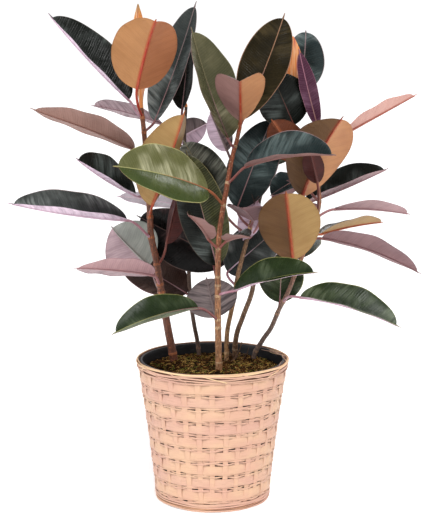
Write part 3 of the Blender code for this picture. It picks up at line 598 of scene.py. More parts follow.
def under_material(name):
    shader = Shader("leaf_under_" + name.replace("/", "_"), roughness=0.5, specular=0.3)
    base, dark, rib = halves(shader, UNDER_COLOURS, name)
    veins, streaks, across = vein_pattern(shader)
    share = shader.uv("share")[0]
    patches = shader.between(shader.noise(shader.place(), 16.0, 3.0, 0.5), 0.4, 0.75)
    colour = shader.mix(shader.maths("MULTIPLY", patches, 0.55), base, dark)
    streaked = name.split("/")[0] in ("smoke", "lilac", "dusk")
    colour = shader.mix(shader.between(streaks, 0.42, 0.66, 0.0, 0.85 if streaked else 0.3), colour, dark)
    colour = shader.mix(shader.maths("MULTIPLY", veins, 0.14), colour, dark)
    blush = shader.between(across, 0.001, 0.006, 0.55 if name.split("/")[0] in RED_MIDRIBS else 0.2, 0.0)
    colour = shader.mix(blush, colour, rib)
    edge = shader.between(shader.maths("ABSOLUTE", share), 0.93, 0.99, 0.0, 0.45)
    colour = shader.mix(edge, colour, dark)
    shader.set("Base Color", colour)
    ripple = shader.bump(shader.noise(shader.place(), 34.0, 2.0), 0.0014)
    shader.set("Normal", shader.bump(veins, 0.00012, ripple))
    return shader.material


def rib_material(name):
    """The midrib and the stalk: red, with a paler tone in patches. Under the paler leaves only the stalk is
    red, and the midrib fades to the blade's own colour."""
    base, dark, rib = (srgb(*colour) for colour in UNDER_COLOURS[name.split("/")[0]])
    shader = Shader("leaf_rib_" + name.replace("/", "_"), roughness=0.38, specular=0.5)
    patches = shader.between(shader.noise(shader.place(), 70.0, 3.0), 0.4, 0.7)
    colour = shader.mix(shader.maths("MULTIPLY", patches, 0.3), rib, base)
    if name.split("/")[0] not in RED_MIDRIBS:
        colour = shader.mix(shader.between(shader.uv("share")[0], 0.0, 0.25, 0.0, 0.8), colour, base)
    fine = shader.noise(shader.place(), 900.0, 2.0)
    shader.set("Base Color", shader.mix(shader.maths("MULTIPLY", fine, 0.35), colour, dark))
    shader.set("Normal", shader.bump(fine, 0.0001))
    return shader.material


# Bark: its colour near the soil, its colour at the top, and that of its rings.
BARK_COLOURS = {
    "left": ((132, 80, 60), (150, 92, 66), (206, 124, 76)),
    "back": ((112, 90, 76), (96, 74, 60), (150, 112, 86)),
    "middle": ((184, 130, 88), (168, 88, 52), (232, 194, 150)),
    "inner": ((190, 142, 94), (112, 84, 64), (220, 180, 132)),
    "branch": ((144, 110, 80), (74, 52, 40), (222, 190, 154)),
    "right": ((138, 118, 106), (202, 124, 78), (188, 148, 116)),
    "twig": ((104, 74, 50), (42, 30, 24), (150, 112, 80)),
}
YOUNG_LEAF_COLOURS = ((228, 138, 68), (244, 190, 140), (196, 78, 58), (112, 112, 60))


def bark_material(stem, is_scar):
    low, high, scar = (srgb(*colour) for colour in BARK_COLOURS[stem])
    shader = Shader(("scar_" if is_scar else "bark_") + stem, roughness=0.55, specular=0.4)
    rise = shader.between(shader.height(), 0.28, 0.62)
    colour = shader.mix(rise, low, high)
    if is_scar:
        colour = shader.mix(0.8, colour, scar)
    grain = shader.noise(shader.stretch(shader.place(), (1, 1, 0.12)), 700.0, 4.0, 0.6)
    spots = shader.between(shader.noise(shader.place(), 240.0, 3.0), 0.55, 0.7)
    dark = shader.mix(shader.between(grain, 0.35, 0.7, 0.75, 0.0), colour, srgb(48, 32, 24))
    colour = shader.mix(shader.maths("MULTIPLY", spots, 0.4), dark, scar)
    shader.set("Base Color", colour)
    rings = shader.noise(shader.stretch(shader.place(), (0.2, 0.2, 1)), 500.0, 2.0)
    shader.set("Normal", shader.bump(grain, 0.0006, shader.bump(rings, 0.0004)))
    return shader.material


def young_leaf_material():
    orange, pale, red, green = (srgb(*colour) for colour in YOUNG_LEAF_COLOURS)
    shader = Shader("young_leaf", roughness=0.4, specular=0.45)
    streaks = shader.noise(shader.stretch(shader.place(), (1, 1, 0.05)), 260.0, 2.0)
    colour = shader.mix(shader.between(streaks, 0.4, 0.56), orange, pale)
    colour = shader.mix(shader.between(streaks, 0.52, 0.66), colour, red)
    colour = shader.mix(shader.between(shader.height(), 0.895, 0.93, 0.0, 0.7), colour, green)
    shader.set("Base Color", colour)
    shader.set("Normal", shader.bump(streaks, 0.0004))
    return shader.material


def bamboo_material(name, light, pink, dark, contrast=1.0):
    """Split bamboo: fine fibres along the strip, soft patches of tone, and darker edges, partly dirt and partly painted
    shade where the strips meet.
    """
    light, pink, dark = srgb(*light), srgb(*pink), srgb(*dark)
    shader = Shader(name, roughness=0.5, specular=0.35)
    share, _, _ = shader.uv("share")
    _, _, real = shader.uv("real")
    fibres = shader.noise(shader.stretch(real, (22, 1500, 1)), 1.0, 5.0, 0.65)
    patches = shader.between(shader.noise(shader.stretch(shader.place(), (1, 1, 3)), 14.0, 3.0), 0.36, 0.66)
    colour = shader.mix(patches, light, pink)
    colour = shader.mix(shader.between(fibres, 0.45, 0.75, 0.0, 0.42 * contrast), colour, dark)
    # Darker towards the edges of each strip: painted shade where the strips meet, with some dirt, made uneven by a
    # noise.
    edge = shader.between(shader.maths("ABSOLUTE", share), 0.8, 1.0, 0.0, 0.6 * contrast)
    dirt_and_shade = shader.between(shader.noise(shader.place(), 60.0, 4.0, 0.7), 0.5, 0.8)
    edge = shader.maths("MULTIPLY", edge, shader.maths("ADD", 0.35, dirt_and_shade))
    shader.set("Base Color", shader.mix(edge, colour, dark))
    shader.set("Roughness", shader.between(fibres, 0.3, 0.7, 0.42, 0.62))
    shader.set("Normal", shader.bump(fibres, 0.00035))
    return shader.material


def pot_material():
    shader = Shader("black_pot", roughness=0.42, specular=0.4)
    scuffs = shader.between(shader.noise(shader.stretch(shader.place(), (1, 1, 4)), 60.0, 5.0, 0.7), 0.5, 0.8)
    shader.set("Base Color", shader.mix(scuffs, srgb(20, 21, 24), srgb(58, 60, 64)))
    shader.set("Roughness", shader.between(scuffs, 0.0, 1.0, 0.36, 0.6))
    shader.set("Normal", shader.bump(shader.noise(shader.place(), 900.0, 2.0), 0.00008))
    return shader.material


def crumb_material(name, colours):
    """Earthy matter in three tones, mixed by the place of each crumb."""
    first, second, third = (srgb(*colour) for colour in colours)
    shader = Shader(name, roughness=0.95, specular=0.03)
    coarse = shader.between(shader.noise(shader.place(), 90.0, 3.0), 0.4, 0.6)
    fine = shader.between(shader.noise(shader.place(), 700.0, 4.0, 0.7), 0.42, 0.62)
    colour = shader.mix(fine, shader.mix(coarse, first, second), third)
    shader.set("Base Color", colour)
    shader.set("Normal", shader.bump(shader.noise(shader.place(), 1100.0, 5.0, 0.7), 0.0012))
    return shader.material


def midrib(leaf):
    """The midrib's plane and a function that gives its point and slope at t from 0 to 1."""
    neck, tip = Vector(leaf.neck), Vector(leaf.tip)
    along = (tip - neck).normalized()
    face = Vector(leaf.face)
    up = (face - along * face.dot(along)).normalized()
    bow, curl = math.radians(leaf.bow), math.radians(leaf.curl)
    steps = 120
    slopes = []
    for i in range(steps + 1):
        t = i / steps
        end = min(1, max(0, (t - 0.55) / 0.45))
        slopes.append(bow * (0.5 - t) + curl * end * end)
    track = [(0.0, 0.0)]
    for a, b in zip(slopes, slopes[1:]):
        slope = (a + b) / 2
        track.append((track[-1][0] + math.cos(slope), track[-1][1] + math.sin(slope)))
    reach = math.hypot(*track[-1])
    lean = math.atan2(track[-1][1], track[-1][0])
    scale = (tip - neck).length / reach

    def at(t):
        i = min(int(t * steps), steps - 1)
        f = t * steps - i
        x = track[i][0] * (1 - f) + track[i + 1][0] * f
        z = track[i][1] * (1 - f) + track[i + 1][1] * f
        slope = slopes[i] * (1 - f) + slopes[i + 1] * f - lean
        level = (x * math.cos(lean) + z * math.sin(lean)) * scale
        rise = (z * math.cos(lean) - x * math.sin(lean)) * scale
        point = neck + along * level + up * rise
        return point, along * math.cos(slope) + up * math.sin(slope)

    return along, up, at, scale * steps


def half_width(leaf, t):
    """An ellipse with a slightly pointed end, then the short drip tip."""
    body = min(1, t / DRIP_START)
    blade = 0
    if 0 < body < 1:
        blade = leaf.width / 2 * math.sin(math.pi * body**leaf.skew) ** BLADE_FULLNESS
    drip = DRIP_HALF_WIDTH * min(1, (DRIP_END - t) / (DRIP_END - DRIP_START))
    return max(blade, drip, PETIOLE_RADIUS if t == 0 else 0)


def blade_steps():
    """Values of t along a blade, closer together at its round base and at its drip tip."""
    body = [DRIP_START * (1 - math.cos(math.pi * i / BLADE_STEPS)) / 2 for i in range(BLADE_STEPS + 1)]
    tail = [DRIP_START + (1 - DRIP_START) * i / DRIP_STEPS for i in range(1, DRIP_STEPS + 1)]
    return body + tail


def stem_point(name, height):
    """The point of the stem's axis at a height."""
    path = smooth_path([Vector(p) for p in STEMS[name][2]], 0.004)
    return min(path, key=lambda p: abs(p.z - height))


def stalk_path(leaf, tangent):
    """The stalk from the stem's axis to the blade, leaving the stem outward and meeting the midrib."""
    start = stem_point(leaf.stem, leaf.node)
    neck = Vector(leaf.neck)
    span = neck - start
    outward = (Vector((span.x, span.y, 0)).normalized() + Vector((0, 0, 0.6))).normalized()
    reach = span.length
    a, b, c, d = start, start + outward * reach * 0.4, neck - tangent * reach * 0.35, neck
    steps = max(8, round(reach / 0.004))
    path = []
    for i in range(steps):
        t = i / steps
        path.append(a * (1 - t) ** 3 + b * 3 * t * (1 - t) ** 2 + c * 3 * t * t * (1 - t) + d * t**3)
    return path


def build_leaf(leaf, dice, materials):
    along, up, at, length = midrib(leaf)
    side = along.cross(up)
    fold = math.radians(leaf.fold)
    waves = [(dice.uniform(1.6, 3.2), dice.uniform(0, math.tau)) for _ in range(2)]
    columns = [j / HALF_COLUMNS for j in range(-HALF_COLUMNS, HALF_COLUMNS + 1)]
    steps = blade_steps()
    rows, centres = [], []
    for t in steps:
        centre, tangent = at(t)
        lift = side.cross(tangent)
        half = half_width(leaf, t)
        calm = math.sin(math.pi * t) ** 0.7

        def upper(s):
            rounded = math.sqrt(s * s + CREASE_ROUNDING**2) - CREASE_ROUNDING
            arch = HALF_ARCH * abs(s) * (1 - abs(s))
            count, phase = waves[0 if s < 0 else 1]
            ripple = MARGIN_WAVE * calm * s * s * math.sin(math.tau * count * t + phase)
            rise = half * (rounded * math.sin(fold) + arch) + ripple
            return centre + side * (s * half * math.cos(fold)) + lift * rise

        top = [upper(s) for s in columns]
        under = []
        for s, point in zip(reversed(columns), reversed(top)):
            thick = MARGIN_THICKNESS + (BLADE_THICKNESS - MARGIN_THICKNESS) * (1 - abs(s))
            under.append(point - lift * thick)
        rows.append(top + under)
        centres.append((centre - lift * (BLADE_THICKNESS + MIDRIB_RADIUS * 0.2), half))
    count = len(columns)
    spread = columns + list(reversed(columns))

    def slot(i, j):
        return 0 if j % (2 * count) < count - 1 else 1

    def uv(i, j):
        s = spread[j % (2 * count)]
        return s, steps[i], s * centres[i][1], steps[i] * length

    piece = Piece(leaf.name + "_grown", materials)
    piece.tube(rows, slot, uv)
    build_rib(piece, leaf, at(0)[1], [centre for centre, _ in centres], steps)
    in_frame = leaf.name in frame["nodes"]
    piece.done(frame_slot(leaf.name) if in_frame else "leaf_lilac", [leaf.name] if in_frame else [])


def build_rib(piece, leaf, tangent, centres, steps):
    """The stalk, which goes on as the raised midrib on the underside and thins towards the tip."""
    stalk = stalk_path(leaf, tangent)
    stalk = [p.lerp(centres[0], (i / len(stalk)) ** 3) for i, p in enumerate(stalk)]
    ribbed = [(c, t) for c, t in zip(centres, steps) if t < 0.97][1:]
    path = stalk + [c for c, _ in ribbed]
    sizes = [PETIOLE_RADIUS * (1.3 - 0.3 * min(1, 4 * i / len(stalk))) for i in range(len(stalk))]
    sizes += [MIDRIB_TIP_RADIUS + (MIDRIB_RADIUS - MIDRIB_TIP_RADIUS) * (1 - t) ** 0.8 for _, t in ribbed]

    def uv(i, _):
        part = max(0, i - len(stalk)) / len(ribbed)
        return part, part, 0, 0

    piece.tube(rings_along(path, lambda i: sizes[i], 10), 2, uv)


def frame_slot(node):
    """The record's material slot of a node."""
    return next(part["material_slot"] for part in frame["record"]["subparts"] if part["node"] == node)


def leaves():
    dice = random.Random(11)
    every = LEAVES + SMALL_LEAVES
    uppers = {name: upper_material(name) for name in sorted({leaf.top for leaf in every})}
    unders = {name: under_material(name) for name in sorted({leaf.under for leaf in every})}
    ribs = {name: rib_material(name) for name in sorted({leaf.under for leaf in every})}
    for leaf in every:
        build_leaf(leaf, dice, [uppers[leaf.top], unders[leaf.under], ribs[leaf.under]])


def stem_radius(low, high, height, top):
    t = min(1, max(0, (height - ROOT_END) / (top - ROOT_END)))
    return low + (high - low) * t


def scar_heights(name, dice):
    """Where rings go round a stem: at each leaf, and where leaves have fallen below them."""
    heights = [leaf.node for leaf in LEAVES if leaf.stem == name]
    level = SOIL_TOP + SCAR_SPACING
    while level < min(heights) - SCAR_SPACING / 2:
        heights.append(level)
        level += SCAR_SPACING * dice.uniform(0.7, 1.3)
    return heights


def build_stem(name, dice):
    low, high, points = STEMS[name]
    path = smooth_path([Vector(p) for p in points], STEM_STEP)
    top = points[-1][2]
    scars = scar_heights(name, dice)

    def near_scar(height):
        return max(math.exp(-((height - scar) / SCAR_HALF_LENGTH) ** 2) for scar in scars)

    def radius(i):
        height = path[i].z
        return stem_radius(low, high, height, top) * (1 + SCAR_SWELL * near_scar(height))

    rings = rings_along(path, radius, STEM_SIDES)
    bark_rings = len(rings)
    tip = path[-1] + (path[-1] - path[-2]).normalized() * high * BUD_LENGTH
    width = 2 * high
    if name in YOUNG_LEAVES:
        tip, width = Vector(YOUNG_LEAVES[name][0]), YOUNG_LEAVES[name][1]
    steps = 26
    for i in range(1, steps + 1):
        t = i / (steps + 0.4)
        centre = path[-1].lerp(tip, t)
        if name in YOUNG_LEAVES:
            wide = width / 2 * math.sin(math.pi * (0.08 + 0.92 * t) ** YOUNG_LEAF_SKEW)
            deep = YOUNG_LEAF_THICKNESS / 2 * (1 - 0.7 * t)
            join = min(1, t * 6)
            wide, deep = high + (wide - high) * join, high + (deep - high) * join
        else:
            wide = deep = high * math.cos(math.pi / 2 * t) ** 0.7
        ring = []
        for j in range(STEM_SIDES):
            angle = math.tau * j / STEM_SIDES
            ring.append(centre + Vector((math.cos(angle) * wide, math.sin(angle) * deep, 0)))
        rings.append(ring)

    def slot(i, _):
        if i >= bark_rings - 1:
            return 2
        return 1 if near_scar(path[min(i, len(path) - 1)].z) > 0.5 else 0

    piece = Piece("bark_of_" + name, [bark_material(name, False), bark_material(name, True), YOUNG_LEAF])
    piece.tube(rings, slot)
    piece.done("bark", ["stem_" + name])


def stems():
    dice = random.Random(5)
    for name in STEMS:
        build_stem(name, dice)


# Dead twigs among the stems: the start, the end, the way each bows, and its radius.
TWIGS = (
    ((0.030, 0.040, 0.246), (0.056, 0.030, 0.290), (0.004, 0, -0.004), 0.0016),
    ((0.034, 0.036, 0.246), (0.064, 0.028, 0.268), (0, 0, 0.005), 0.0013),
    ((0.046, 0.060, 0.246), (0.030, 0.040, 0.284), (-0.004, 0, 0), 0.0014),
    ((0.052, 0.060, 0.246), (0.070, 0.050, 0.276), (0.003, 0, -0.003), 0.0012),
    ((0.020, 0.030, 0.246), (0.036, 0.034, 0.264), (-0.002, 0, 0.003), 0.0011),
    ((0.084, 0.066, 0.505), (0.078, 0.020, 0.560), (-0.002, 0, 0), 0.0020),
    ((0.078, 0.020, 0.560), (0.073, 0.016, 0.575), (0, 0, 0.001), 0.0014),
    ((0.078, 0.020, 0.560), (0.087, 0.016, 0.572), (0, 0, 0.001), 0.0014),
)


def twigs():
    piece = Piece("dead_twigs", [bark_material("twig", False)])
    for start, end, bow, radius in TWIGS:
        start, end, bow = Vector(start), Vector(end), Vector(bow)
        steps = 12
        path = [start.lerp(end, i / steps) + bow * math.sin(math.pi * i / steps) for i in range(steps + 1)]
        piece.tube(rings_along(path, lambda i: radius * (1 - 0.45 * i / steps), 8))
    piece.done("bark")


def basket_radius(height):
    """The wall's mean outer radius: a taper that is drawn in a little at half height."""
    t = height / BASKET_HEIGHT
    taper = (BASKET_TOP_RADIUS - BASKET_BOTTOM_RADIUS) * t
    return BASKET_BOTTOM_RADIUS + taper - BASKET_WAIST * math.sin(math.pi * t)


def strip_section(width, thickness, crown=0.0):
    """A flat strip's outline as (outward, upward) points: a crowned outer face and rounded edges."""
    outer = [(thickness / 2 + crown * (1 - k * k), k * width * 0.46) for k in (-1, -0.5, 0, 0.5, 1)]
    inner = [(-thickness / 2, width * 0.44), (-thickness / 2, -width * 0.44)]
    return [*outer, (0, width / 2), *inner, (0, -width / 2)]


def round_section(width, thickness):
    return [
        (math.cos(math.tau * k / 8) * thickness / 2, math.sin(math.tau * k / 8) * width / 2)
        for k in range(8)
    ]


def hoop(piece, section, centre, steps=WEAVE_STEPS, slot=0, start=0.0, end=1.0):
    """A strip round the basket. centre(turn) gives its radius, its height and how wide it is drawn."""
    whole = end - start >= 1
    rows = []
    for i in range(steps if whole else steps + 1):
        turn = start + (end - start) * i / steps
        radius, height, scale = centre(turn)
        angle = math.tau * turn
        row = []
        for out, lift in section:
            r = radius + out * min(1, scale * 1.5)
            row.append(Vector((r * math.cos(angle), r * math.sin(angle), height + lift * scale)))
        rows.append(row)
    highest = max(abs(lift) for _, lift in section)
    round_length = math.tau * BASKET_TOP_RADIUS
    offset = len(piece.points) * 0.137

    def uv(i, j):
        lift = section[j % len(section)][1]
        along = (start + (end - start) * i / steps) * round_length
        return lift / highest, 0, along + offset, lift

    first, count = piece.grid(rows, slot, uv, close_across=True, close_along=whole)
    if not whole:
        piece.cap(first, count, slot)
        piece.cap(first + (len(rows) - 1) * count, count, slot)


def weave_row(i):
    """The height of the middle of band i, and the band's pitch."""
    pitch = (RIM_BOTTOM - FOOT_TOP) / BANDS
    return FOOT_TOP + (i + 0.5) * pitch + 0.0012, pitch


def over_under(turn, row):
    """1 where a band of this row lies in front of a stake, and -1 where it lies behind one."""
    wave = math.cos(math.tau * turn * STAKES / 2 + math.pi * row)
    return max(-1, min(1, wave * 1.6 + 0.25))


def bands(dice):
    piece = Piece("basket_bands", [BAMBOO, BAMBOO_PINK])
    for i in range(BANDS):
        middle, _ = weave_row(i)
        height_wander = Wander(dice, 0.0016, (1, 2, 4, 7))
        width_wander = Wander(dice, 0.16, (3, 7, 11, 17))
        out_wander = Wander(dice, 0.0008, (3, 5, 8, 13))
        section = strip_section(BAND_WIDTH * dice.uniform(0.97, 1.03), BAND_THICKNESS, 0.0002)

        def centre(turn):
            height = middle + height_wander(turn)
            radius = basket_radius(middle) - WEAVE_INSET + out_wander(turn)
            return radius + BAND_SWING * over_under(turn, i), height, 1 + width_wander(turn)

        hoop(piece, section, centre, slot=i % 2 if i % 3 else 0)
    piece.done("bamboo", ["basket_wall"])


def splints_between(dice):
    piece = Piece("basket_splints", [BAMBOO_FINE, BAMBOO_PINK])
    for i in range(BANDS + 1):
        middle, pitch = weave_row(i)
        gap_middle = middle - pitch / 2
        room = pitch - BAND_WIDTH
        for k in range(SPLINTS_BETWEEN):
            level = gap_middle + room * ((k + 0.5) / SPLINTS_BETWEEN - 0.5) * 1.05
            level = min(max(level, FOOT_TOP + 0.001), RIM_BOTTOM - 0.001)
            height_wander = Wander(dice, 0.0024, (3, 5, 8, 13, 21))
            width_wander = Wander(dice, 0.5, (5, 9, 17, 23))
            out_wander = Wander(dice, 0.0009, (4, 7, 12, 19))
            section = round_section(SPLINT_WIDTH * dice.uniform(0.85, 1.15), SPLINT_THICKNESS)

            def centre(turn):
                height = level + height_wander(turn)
                radius = basket_radius(level) - WEAVE_INSET + out_wander(turn)
                return radius + SPLINT_SWING * over_under(turn, i + k), height, 1 + width_wander(turn)

            hoop(piece, section, centre, slot=1 if dice.random() < 0.35 else 0)
    piece.done("bamboo_edge")


def stakes(dice):
    """Flat uprights. Each bows in where a band crosses in front of it and out where it crosses the band."""
    piece = Piece("basket_stakes", [BAMBOO_STAKE])
    bottom, top = 0.003, BASKET_HEIGHT - 0.004
    steps = 110
    for k in range(STAKES):
        turn = k / STAKES + dice.uniform(-0.0012, 0.0012)
        width = STAKE_WIDTH * dice.uniform(0.88, 1.08)
        lean = dice.uniform(-0.0012, 0.0012)
        rows = []
        for i in range(steps + 1):
            height = bottom + (top - bottom) * i / steps
            row, pitch = weave_row(0)
            place = (height - row) / pitch
            nearest = min(BANDS - 1, max(0, round(place)))
            close = math.cos(math.pi * (place - nearest)) ** 2 if abs(place - nearest) < 0.5 else 0
            swing = -over_under(k / STAKES, nearest) * STAKE_THICKNESS * 1.15 * close
            if FOOT_TOP < height < RIM_BOTTOM:
                radius = basket_radius(height) - WEAVE_INSET + swing
            else:
                radius = basket_radius(height) - WEAVE_INSET - 0.0012
            angle = math.tau * (turn + lean * (height / top - 0.5))
            shrink = 0.84 + 0.16 * height / top
            out = Vector((math.cos(angle), math.sin(angle), 0))
            side = Vector((-math.sin(angle), math.cos(angle), 0))
            base = out * radius + Vector((0, 0, height))
            rows.append([
                base + out * o + side * s * shrink
                for o, s in strip_section(width, STAKE_THICKNESS, 0.0002)
            ])

        def uv(i, j):
            across = strip_section(width, STAKE_THICKNESS)[j % 9][1]
            return across / width * 2, 0, (top - bottom) * i / steps + k * 0.7, across

        piece.tube(rows, 0, uv)
    piece.done("bamboo")


LASHINGS = (0.02, 0.13, 0.21, 0.34, 0.44, 0.52, 0.545, 0.58, 0.66, 0.73, 0.81, 0.87, 0.95)
LOOSE_SPLINTS = 11


def rim(dice):
    """A flat hoop inside, a broad one outside, and loosely bound round splints over both."""
    piece = Piece("basket_rim_splints", [BAMBOO_PINK, BAMBOO_CREAM, BAMBOO_PAINTED_SHADE])
    outer = Wander(dice, 0.0006, (2, 5, 9))
    # Both flat hoops take the darker bamboo, painted shade, as they lie behind the splints.
    hoop(piece, strip_section(0.0125, 0.001, 0.0003), lambda turn: (
        basket_radius(0.259) - 0.0022 + outer(turn), 0.2592, 1), slot=2)
    hoop(piece, strip_section(0.0125, 0.001), lambda turn: (
        basket_radius(0.262) - 0.0040, 0.2608, 1), slot=2)
    levels = ((0.2660, -0.0022, 0.0036, 1), (0.2652, 0.0000, 0.0034, 1), (0.2616, 0.0004, 0.0028, 0),
              (0.2580, 0.0006, 0.0030, 0), (0.2543, 0.0002, 0.0026, 0), (0.2520, 0.0000, 0.0022, 0))
    for level, out, width, slot in levels:
        loose = 0.0024 if slot else 0.0056
        height_wander = Wander(dice, loose, (1, 2, 3, 5, 8))
        out_wander = Wander(dice, 0.0012, (3, 5, 8, 13))
        section = round_section(width, 0.0022)

        def centre(turn):
            height = min(level + height_wander(turn), BASKET_HEIGHT - width / 2)
            return basket_radius(level) + out + out_wander(turn), height, 1

        hoop(piece, section, centre, slot=slot)
    for start in LASHINGS:
        end = start + dice.uniform(0.03, 0.06)
        first, last = dice.choice(((0.2650, 0.2525), (0.2520, 0.2655)))

        def lashing_centre(turn):
            part = (turn - start) / (end - start)
            level = first + (last - first) * part
            return basket_radius(level) + 0.0010 + 0.0005 * math.sin(math.pi * part), level, 1

        hoop(piece, round_section(0.0019, 0.0010), lashing_centre, 40, dice.choice((0, 1)), start, end)
    for _ in range(LOOSE_SPLINTS):
        start = dice.uniform(-0.09, 0.08)
        end = start + dice.uniform(0.05, 0.13)
        rise = dice.uniform(-0.012, 0.0012)
        inward = dice.uniform(0.004, 0.014)

        def loose_centre(turn):
            part = (turn - start) / (end - start)
            bow = math.sin(math.pi * part)
            return basket_radius(0.266) - 0.0040 - inward * bow, 0.2668 + rise * part, 1

        hoop(piece, round_section(0.0010, 0.0009), loose_centre, 60, dice.choice((0, 1)), start, end)
    piece.done("bamboo_edge", ["basket_rim"])


def foot(dice):
    """A broad hoop with round splints bound over it."""
    piece = Piece("basket_foot_splints", [BAMBOO_FOOT, BAMBOO_PAINTED_SHADE, BAMBOO_PINK])
    # The broad hoop takes the darker bamboo, painted shade, as it lies behind the splints.
    hoop(piece, strip_section(0.0150, 0.0011, 0.0003), lambda turn: (
        basket_radius(0.009) - 0.0022, 0.0086, 1), slot=1)
    for level, width, slot in ((0.0022, 0.0036, 2), (0.0058, 0.0028, 0), (0.0092, 0.0034, 2), (0.0136, 0.0046, 2)):
        height_wander = Wander(dice, 0.0018, (2, 3, 5, 8))
        out_wander = Wander(dice, 0.0008, (3, 7, 11))
        width_wander = Wander(dice, 0.4, (2, 5, 9))
        section = round_section(width, 0.0019)

        def centre(turn):
            scale = 1 + width_wander(turn)
            height = max(level + height_wander(turn), width / 2 * scale + 0.0002)
            return basket_radius(level) - 0.0004 + out_wander(turn), height, scale

        hoop(piece, section, centre, slot=slot)
    piece.done("bamboo_edge", ["basket_foot"])


def basket_floor():
    """The woven underside: rings laid over and under the ends of the stakes, on a thin plate."""
    piece = Piece("basket_floor", [BAMBOO_FOOT])
    plate = BASKET_BOTTOM_RADIUS - 0.004
    hoop(piece, [(0, 0.0026), (-plate + 0.0005, 0.0026), (-plate + 0.0005, 0.0042), (0, 0.0042)],
         lambda turn: (plate, 0, 1), 96)
    rings = 24
    for i in range(rings):
        radius = 0.004 + (plate - 0.004) * (i + 0.5) / rings
        spokes = STAKES // 2 if i > rings / 3 else STAKES // 4

        def centre(turn):
            wave = math.cos(math.tau * turn * spokes / 2 + math.pi * i)
            return radius, 0.0021 - 0.0007 * wave, 1

        hoop(piece, [(0.0021, 0), (0, 0.0007), (-0.0021, 0), (0, -0.0007)], centre, 8 * spokes)
    piece.done("bamboo_edge")


def basket():
    dice = random.Random(21)
    stakes(dice)
    bands(dice)
    splints_between(dice)
    rim(dice)
    foot(dice)
    basket_floor()


def pot_radius(height):
    t = (height - POT_FOOT) / (POT_TOP - POT_FOOT)
    return POT_BOTTOM_RADIUS + (POT_TOP_RADIUS - POT_BOTTOM_RADIUS) * t


def pot():
    """A thin moulded pot with faint rings inside and a rolled lip."""
    piece = Piece("pot_shell", [BLACK_POT])
    profile = [(0.0, POT_FOOT)]
    steps = 48
    low = POT_FOOT + 0.0004
    for i in range(steps + 1):
        height = low + (POT_TOP - 0.008 - low) * i / steps
        profile.append((pot_radius(height), height))
    for i in range(9):
        angle = -math.pi / 2 + math.pi * i / 8
        lip = (POT_LIP_RADIUS - 0.003 + 0.003 * math.cos(angle), POT_TOP - 0.0032 + 0.003 * math.sin(angle))
        profile.append(lip)
    profile.append((pot_radius(POT_TOP) - POT_WALL, POT_TOP - 0.0006))
    for i in range(steps + 1):
        height = POT_TOP - 0.004 - (POT_TOP - 0.004 - low - POT_WALL) * i / steps
        ring = 0.0003 * math.sin(height / 0.0021)
        profile.append((pot_radius(height) - POT_WALL + ring, height))
    profile.append((0.0, low + POT_WALL))
    sides = 128
    rows = []
    for radius, height in profile:
        radius = max(radius, 0.0002)
        rows.append([
            Vector((radius * math.cos(math.tau * j / sides), radius * math.sin(math.tau * j / sides), height))
            for j in range(sides)
        ])
    piece.tube(rows)
    piece.done("pot", ["nursery_pot"])


def moss_mat(dice):
    """A lumpy mat, higher in the middle, with a closed underside."""
    piece = Piece("moss_mat", [MOSS_DARK])
    rings, sides = 54, 180
    lumps = [
        (dice.uniform(-1, 1) * MOSS_RADIUS, dice.uniform(-1, 1) * MOSS_RADIUS, dice.uniform(0.004, 0.011),
         dice.uniform(-0.0022, 0.0034))
        for _ in range(190)
    ]

    def surface(x, y):
        out = math.hypot(x, y) / MOSS_RADIUS
        level = MOSS_BOTTOM + 0.0066 + 0.004 * (1 - out * out)
        for lump_x, lump_y, size, rise in lumps:
            away = ((x - lump_x) ** 2 + (y - lump_y) ** 2) / size**2
            if away < 4:
                level += rise * math.exp(-away * 1.6)
        return level

    rows = []
    for i in range(rings + 1):
        radius = MOSS_RADIUS * max(0.002, i / rings)
        row = []
        for j in range(sides):
            x = radius * math.cos(math.tau * j / sides)
            y = radius * math.sin(math.tau * j / sides)
            grain = dice.uniform(-0.0007, 0.0007) if i < rings else 0
            row.append(Vector((x, y, surface(x, y) + grain)))
        rows.append(row)
    rows.append([Vector((p.x, p.y, MOSS_BOTTOM + 0.0002)) for p in rows[-1]])
    rows.append([Vector((p.x * 0.01, p.y * 0.01, MOSS_BOTTOM + 0.0002)) for p in rows[-1]])
    piece.tube(rows)
    piece.done("moss", ["moss"])
    return surface


# How much of the moss is ochre, green and brown, in its fresh patches and between them.
MOSS_SHARES = ((7, 5, 2), (3, 1, 6))


def patchy(x, y):
    """Above 0 in some patches a few centimetres wide, and below 0 in the others."""
    return math.sin(131 * x + 1.3) + math.sin(117 * y + 0.4) + math.sin(83 * (x + y) + 2.1)


